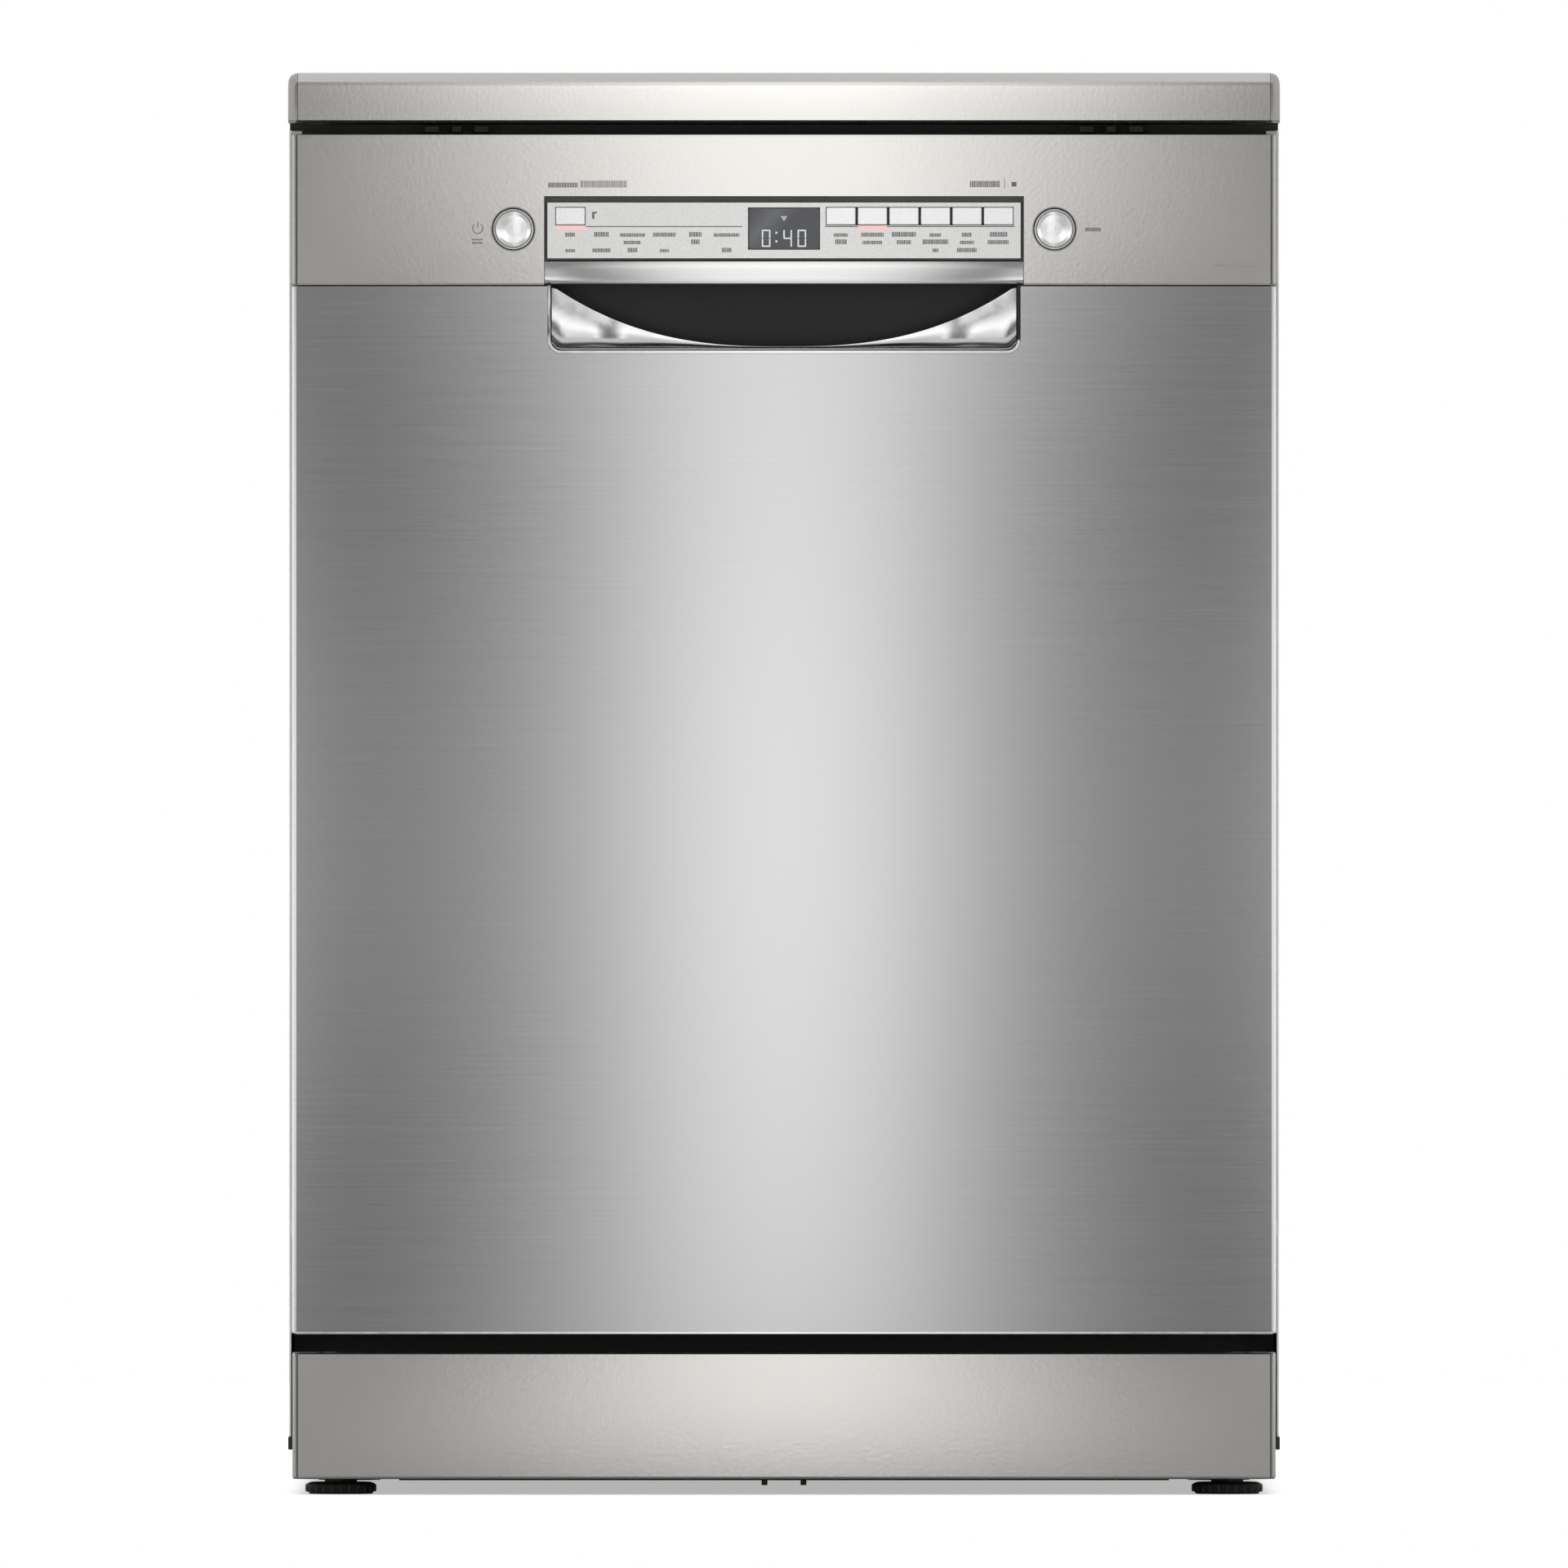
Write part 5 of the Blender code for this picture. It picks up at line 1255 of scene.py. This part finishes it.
def rear_panel():
    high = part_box("back_panel")[1]
    y = high.y
    fields = Shape()
    for z_low, z_high in ((0.205, 0.345), (0.375, 0.515), (0.545, 0.685)):
        fields.prism(rounded_rectangle(0.235, z_low, z_high, 0.020), y - 0.0004, y + 0.0016)
    fields.piece("rear_fields", "root", "zinc", bevel=0.0014, segments=3)
    beads = Shape()
    for z in (0.190, 0.360, 0.530, 0.700):
        beads.tube([(-0.235, y, z), (0, y, z), (0.235, y, z)], 0.0014, 8)
    beads.piece("rear_beads", "root", "zinc")
    screws = Shape()
    for z in (0.172, 0.490, 0.808):
        for x in (-0.272, -0.090, 0.090, 0.272):
            if z != 0.490 or abs(x) > 0.2:
                screw(screws, (x, y, z), (0, 1, 0))
    screws.piece("rear_panel_screws", "root", "zinc")
    plate = Shape().box((0.110, y - 0.0001, 0.728), (0.200, y + 0.0004, 0.782))
    plate.piece("rating_plate", "root", "white", bevel=0.0002)
    bars = Shape()
    for i in range(7):
        bars.box((0.116, y + 0.0003, 0.7345 + 0.0062 * i),
                 (0.1940 - 0.009 * (i % 3), y + 0.0006, 0.7362 + 0.0062 * i))
    bars.piece("rating_plate_rules", "root", "ink_light")
    # painted shade: black blocks for the dark seen through the vent slots
    vents = Shape()
    for i in range(12):
        x = -0.196 + 0.0085 * i
        vents.box((x, y - 0.0002, 0.735), (x + 0.0036, y + 0.0003, 0.775))
    vents.piece("rear_vents", "root", "black", bevel=0.0001)


def base_ribs():
    """Stiffening ribs moulded on the base's rear and sides, and the hose clip beside the water inlet."""
    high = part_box("base_tray")[1]
    rear = Shape()
    for i in range(15):
        x = -0.266 + 0.038 * i
        if -0.225 < x < -0.175 or 0.175 < x < 0.235:
            continue
        rear.box((x - 0.0015, high.y - 0.001, 0.020), (x + 0.0015, high.y + 0.0040, 0.146))
    for z in (0.020, 0.140):
        rear.box((-0.290, high.y - 0.001, z - 0.0015), (0.290, high.y + 0.0040, z + 0.0015))
    rear.piece("base_rear_ribs", "root", "black", bevel=0.0004)
    clip = Shape()
    clip.box((-0.155, high.y - 0.001, 0.088), (-0.141, high.y + 0.0070, 0.094))
    clip.box((-0.155, high.y - 0.001, 0.106), (-0.141, high.y + 0.0070, 0.112))
    clip.box((-0.155, high.y + 0.0050, 0.088), (-0.141, high.y + 0.0070, 0.100))
    clip.piece("hose_clip", "root", "black", bevel=0.0006)
    under = Shape()
    for x in (-0.165, -0.083, 0.0, 0.083, 0.165):
        under.box((x - 0.0015, -0.255, 0.0098), (x + 0.0015, 0.270, 0.0128))
    for y in (-0.150, -0.050, 0.050, 0.150):
        under.box((-0.230, y - 0.0015, 0.0098), (0.230, y + 0.0015, 0.0128))
    under.piece("underside_ribs", "root", "black")


def feet():
    """Each foot: a ribbed pad with a soft sole, a hexagon to turn it by and its threaded neck."""
    for end in ("front", "rear"):
        for side in ("left", "right"):
            node = f"foot_{end}_{side}"
            low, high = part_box(node)
            x, y, r = (low.x + high.x) / 2, (low.y + high.y) / 2, (high.x - low.x) / 2
            pad = Shape().ring((x, y, 0), (0, 0, 1),
                               [(0.0020, 0.0075), (r - 0.0035, 0.0072), (r - 0.0008, 0.0062),
                                                      (r, 0.0050), (r - 0.0012, 0.0012), (0.0020, 0.0012)],
                                                      40)
            pad.ring((x, y, 0), (0, 0, 1),
                     [(0.0020, 0.0014), (r - 0.0018, 0.0014), (r - 0.0024, 0.0), (0.0020, 0.0)], 40)
            for i in range(24):
                angle = math.tau * i / 24
                spot = Vector((x + (r - 0.0009) * math.cos(angle), y + (r - 0.0009) * math.sin(angle), 0))
                pad.rod(spot + Vector((0, 0, 0.0014)), spot + Vector((0, 0, 0.0056)), 0.0009, sides=8)
            pad.rod((x, y, 0.0068), (x, y, 0.0102), 0.0112, sides=6)
            pad.rod((x, y, 0.0098), (x, y, high.z), 0.0078, sides=24)
            pad.piece(node + "_pad", node, "black", replaces=[node])


def water_inlet():
    """Threaded spigot with a flange and a mesh strainer inside."""
    low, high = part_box("water_inlet_connector")
    x, z, start, end = (low.x + high.x) / 2, (low.z + high.z) / 2, low.y, high.y
    spigot = Shape()
    profile = [(0.0085, 0), (0.0170, 0), (0.0170, 0.0022), (0.0126, 0.0026)]
    steps = 5
    for i in range(steps):
        at = 0.0032 + i * (end - start - 0.0040) / steps
        profile += [(0.0126, at), (0.0134, at + 0.0007)]
    profile += [(0.0122, end - start), (0.0085, end - start)]
    spigot.ring((x, start, z), (0, 1, 0), list(reversed(profile)), 40)
    spigot.piece("inlet_spigot", "root", "white", replaces=["water_inlet_connector"])
    # painted shade: the strainer is a flat disc whose holes are painted near-black by the perforated look
    strainer = Shape().rod((x, start + 0.0004, z), (x, start + 0.0022, z), 0.0088)
    strainer.piece("inlet_strainer", "root", "sieve")


def mains_inlet():
    low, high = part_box("mains_inlet_socket")
    x, z = (low.x + high.x) / 2, (low.z + high.z) / 2
    pins = Shape()
    for dx, dz in ((-0.0080, -0.0025), (0.0, 0.0040), (0.0080, -0.0025)):
        pins.box((x + dx - 0.0010, 0.2876, z + dz - 0.0022),
                 (x + dx + 0.0010, high.y - 0.0020, z + dz + 0.0022))
    pins.piece("mains_pins", "root", "zinc", bevel=0.0003)
    lip = Shape()
    for z_low, z_high in ((low.z - 0.0016, low.z + 0.0012), (high.z - 0.0012, high.z + 0.0016)):
        lip.box((low.x - 0.0050, low.y - 0.0004, z_low), (high.x + 0.0050, low.y + 0.0020, z_high))
    for x_low, x_high in ((low.x - 0.0050, low.x + 0.0010), (high.x - 0.0010, high.x + 0.0050)):
        lip.box((x_low, low.y - 0.0004, low.z - 0.0010), (x_high, low.y + 0.0020, high.z + 0.0010))
    lip.piece("mains_flange", "root", "black", bevel=0.0005)


def hinges():
    """Rivets in each hinge arm, and bolts in its bracket."""
    for label, side in (("left", -1), ("right", 1)):
        rivets = Shape()
        face = 0.2865 if side > 0 else -0.2865
        for z in (0.215, 0.265, 0.320):
            rivets.rod((face - side * 0.0005, -0.2790, z), (face + side * 0.0012, -0.2790, z), 0.0032,
                       sides=16)
        rivets.piece(f"hinge_rivets_{label}", "door", "zinc")
        bolts = Shape()
        x = side * 0.2795
        for z in (0.1000, 0.1280):
            bolts.rod((x - side * 0.0012, -0.2035, z), (x + side * 0.0005, -0.2035, z), 0.0030, sides=6)
        bolts.piece(f"hinge_bolts_{label}", "root", "zinc")


side_details()
rear_panel()
base_ribs()
feet()
water_inlet()
mains_inlet()
hinges()

# ---------------------------------------------------------------- studio


def emitter(name, centre, size, turn, build):
    """A large soft light panel that the camera doesn't see. build makes its brightness from its x and y."""
    mesh = bpy.data.meshes.new(name)
    half_x, half_y = size[0] / 2, size[1] / 2
    corners = [(-half_x, -half_y, 0), (half_x, -half_y, 0), (half_x, half_y, 0), (-half_x, half_y, 0)]
    mesh.from_pydata(corners, [], [(0, 1, 2, 3)])
    panel = bpy.data.objects.new(name, mesh)
    panel.location = centre
    panel.rotation_euler = [math.radians(a) for a in turn]
    bpy.context.scene.collection.objects.link(panel)
    panel.visible_camera = False
    panel.visible_shadow = False
    look = Look(name + "_light", Roughness=1.0)
    glow = look.tree.nodes.new("ShaderNodeEmission")
    look.tree.links.new(build(look), glow.inputs["Strength"])
    look.tree.links.new(glow.outputs[0], look.tree.nodes["Material Output"].inputs["Surface"])
    mesh.materials.append(look.material)
    return panel


def bell(look, value, width):
    """exp(-(value / width)^2)"""
    ratio = look.math("DIVIDE", value, width)
    return look.math("EXPONENT", look.math("MULTIPLY", look.math("MULTIPLY", ratio, ratio), -1.0))


def front_brightness(look):
    """A bright upright band, wide near the top and the floor, dim beside it and bright far out."""
    spot = look.node("ShaderNodeSeparateXYZ", Vector=look.place())
    x, z = spot.outputs[0], look.math("ADD", spot.outputs[1], FRONT_PANEL_Z)
    reach = look.math("ABSOLUTE", x)
    upper = look.math("MAXIMUM", look.span(z, 0.735, 0.765, 0, 1), look.span(z, 0.045, 0.075, 1, 0))
    lower = look.math("SUBTRACT", 1.0, upper)
    narrow = look.math("MULTIPLY", bell(look, x, BAND_WIDTH), BAND_POWER)
    wide = look.math("MULTIPLY", bell(look, x, WIDE_WIDTH), WIDE_POWER)
    glow = look.math("MULTIPLY_ADD", bell(look, look.math("SUBTRACT", z, DIM_Z), DIM_HEIGHT), DIM_RISE,
                     DIM_POWER)
    low_side = look.math("ADD", glow, look.span(reach, *LOW_OUTER, 0, OUTER_POWER))
    high_side = look.span(reach, *HIGH_OUTER, HIGH_DIM, HIGH_OUTER_POWER)
    low_part = look.math("MULTIPLY", look.math("ADD", narrow, low_side), lower)
    nose = look.math("MULTIPLY_ADD", bell(look, look.math("SUBTRACT", z, NOSE_Z), NOSE_HEIGHT), NOSE_RISE,
                     0.9)
    high_part = look.math("MULTIPLY", look.math("MULTIPLY", look.math("ADD", wide, high_side), upper), nose)
    return look.math("ADD", low_part, high_part)


def even_brightness(power, reflected=None):
    """An even panel; reflected is how bright it looks in a shiny surface, if that isn't its power."""
    def build(look):
        glow = look.span(look.noise(0.4, 1.0), 0.0, 1.0, 0.97 * power, 1.03 * power)
        if reflected is None:
            return glow
        seen = look.node("ShaderNodeLightPath").outputs["Is Glossy Ray"]
        return look.math("MULTIPLY", glow, look.span(seen, 0.0, 1.0, 1.0, reflected / power))
    return build


def studio():
    emitter("front_panel", (0, FRONT_PANEL_Y, FRONT_PANEL_Z), (3.2, 4.2), (90, 0, 0), front_brightness)
    emitter("top_panel", (0, 0.4, 4.2), (6.0, 6.5), (0, 180, 0),
            even_brightness(TOP_POWER, TOP_REFLECTED))
    for side in (-1, 1):
        emitter(f"side_panel_{'left' if side < 0 else 'right'}_glow", (side * 5.0, 0.2, 1.8), (5.0, 3.2),
                (90, 0, side * 90), even_brightness(SIDE_POWER))
    emitter("rear_panel", (0.6, 5.5, 1.8), (4.0, 3.2), (90, 0, 0), even_brightness(REAR_POWER))

    world = bpy.data.worlds.new("studio")
    world.use_nodes = True
    sky = world.node_tree.nodes["Background"]
    sky.inputs["Color"].default_value = (1.0, 1.0, 1.0, 1.0)
    seen = world.node_tree.nodes.new("ShaderNodeLightPath")
    strength = world.node_tree.nodes.new("ShaderNodeMapRange")
    strength.inputs["To Min"].default_value = SKY_POWER
    strength.inputs["To Max"].default_value = 1.0
    world.node_tree.links.new(seen.outputs["Is Camera Ray"], strength.inputs["Value"])
    world.node_tree.links.new(strength.outputs[0], sky.inputs["Strength"])
    bpy.context.scene.world = world
    bpy.context.scene.view_settings.view_transform = "Standard"

    bpy.ops.mesh.primitive_plane_add(size=5.5, location=(0, 1.50, 0))
    floor = bpy.context.object
    floor.name = "floor"
    look = Look("pale_floor", Roughness=0.65, Specular_IOR_Level=0.15)
    rays = look.node("ShaderNodeLightPath")
    glow = look.math("MULTIPLY", rays.outputs["Is Camera Ray"], FLOOR_GLOW)
    tone = look.span(rays.outputs["Is Glossy Ray"], 0.0, 1.0, 1.0, FLOOR_REFLECTED)
    look.into("Base Color", look.blend(tone, (0.0, 0.0, 0.0), (0.96, 0.96, 0.96)))
    look.shader.inputs["Emission Color"].default_value = (1.0, 1.0, 1.0, 1.0)
    look.into("Emission Strength", glow)
    floor.data.materials.append(look.material)


# The front panel's light: the middle band, the zones beside it, the rise that the worktop's nose catches,
# and the bright outer edges. Places and widths are in metres.
BAND_WIDTH, BAND_POWER, WIDE_WIDTH, WIDE_POWER = 0.130, 1.36, 0.238, 1.53
DIM_Z, DIM_HEIGHT, DIM_RISE, DIM_POWER, HIGH_DIM = 0.40, 0.20, 0.44, 0.0, 0.02
NOSE_Z, NOSE_HEIGHT, NOSE_RISE = 1.30, 0.35, 0.27
LOW_OUTER, HIGH_OUTER, OUTER_POWER, HIGH_OUTER_POWER = (0.32, 0.42), (0.42, 0.95), 1.5, 0.3
FRONT_PANEL_Y, FRONT_PANEL_Z = -2.0, 0.9
TOP_POWER, SIDE_POWER, REAR_POWER, SKY_POWER = 1.9, 0.7, 0.7, 0.65
# How bright the top panel and the floor look in a shiny surface, and the floor's own glow for the camera.
TOP_REFLECTED, FLOOR_GLOW, FLOOR_REFLECTED = 0.70, 0.45, 0.30
CAMERA_DISTANCE, FRAME_SPAN, CAMERA_Z = 24.0, 0.9477, 0.430


def camera():
    data = bpy.data.cameras.new("camera")
    data.sensor_width = 36.0
    data.lens = data.sensor_width * CAMERA_DISTANCE / FRAME_SPAN
    data.clip_end = 100
    made = bpy.data.objects.new("camera", data)
    made.location = (0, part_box("door_outer_panel")[0].y - CAMERA_DISTANCE, CAMERA_Z)
    made.rotation_euler = (math.radians(90), 0, 0)
    bpy.context.scene.collection.objects.link(made)
    bpy.context.scene.camera = made


studio()
camera()
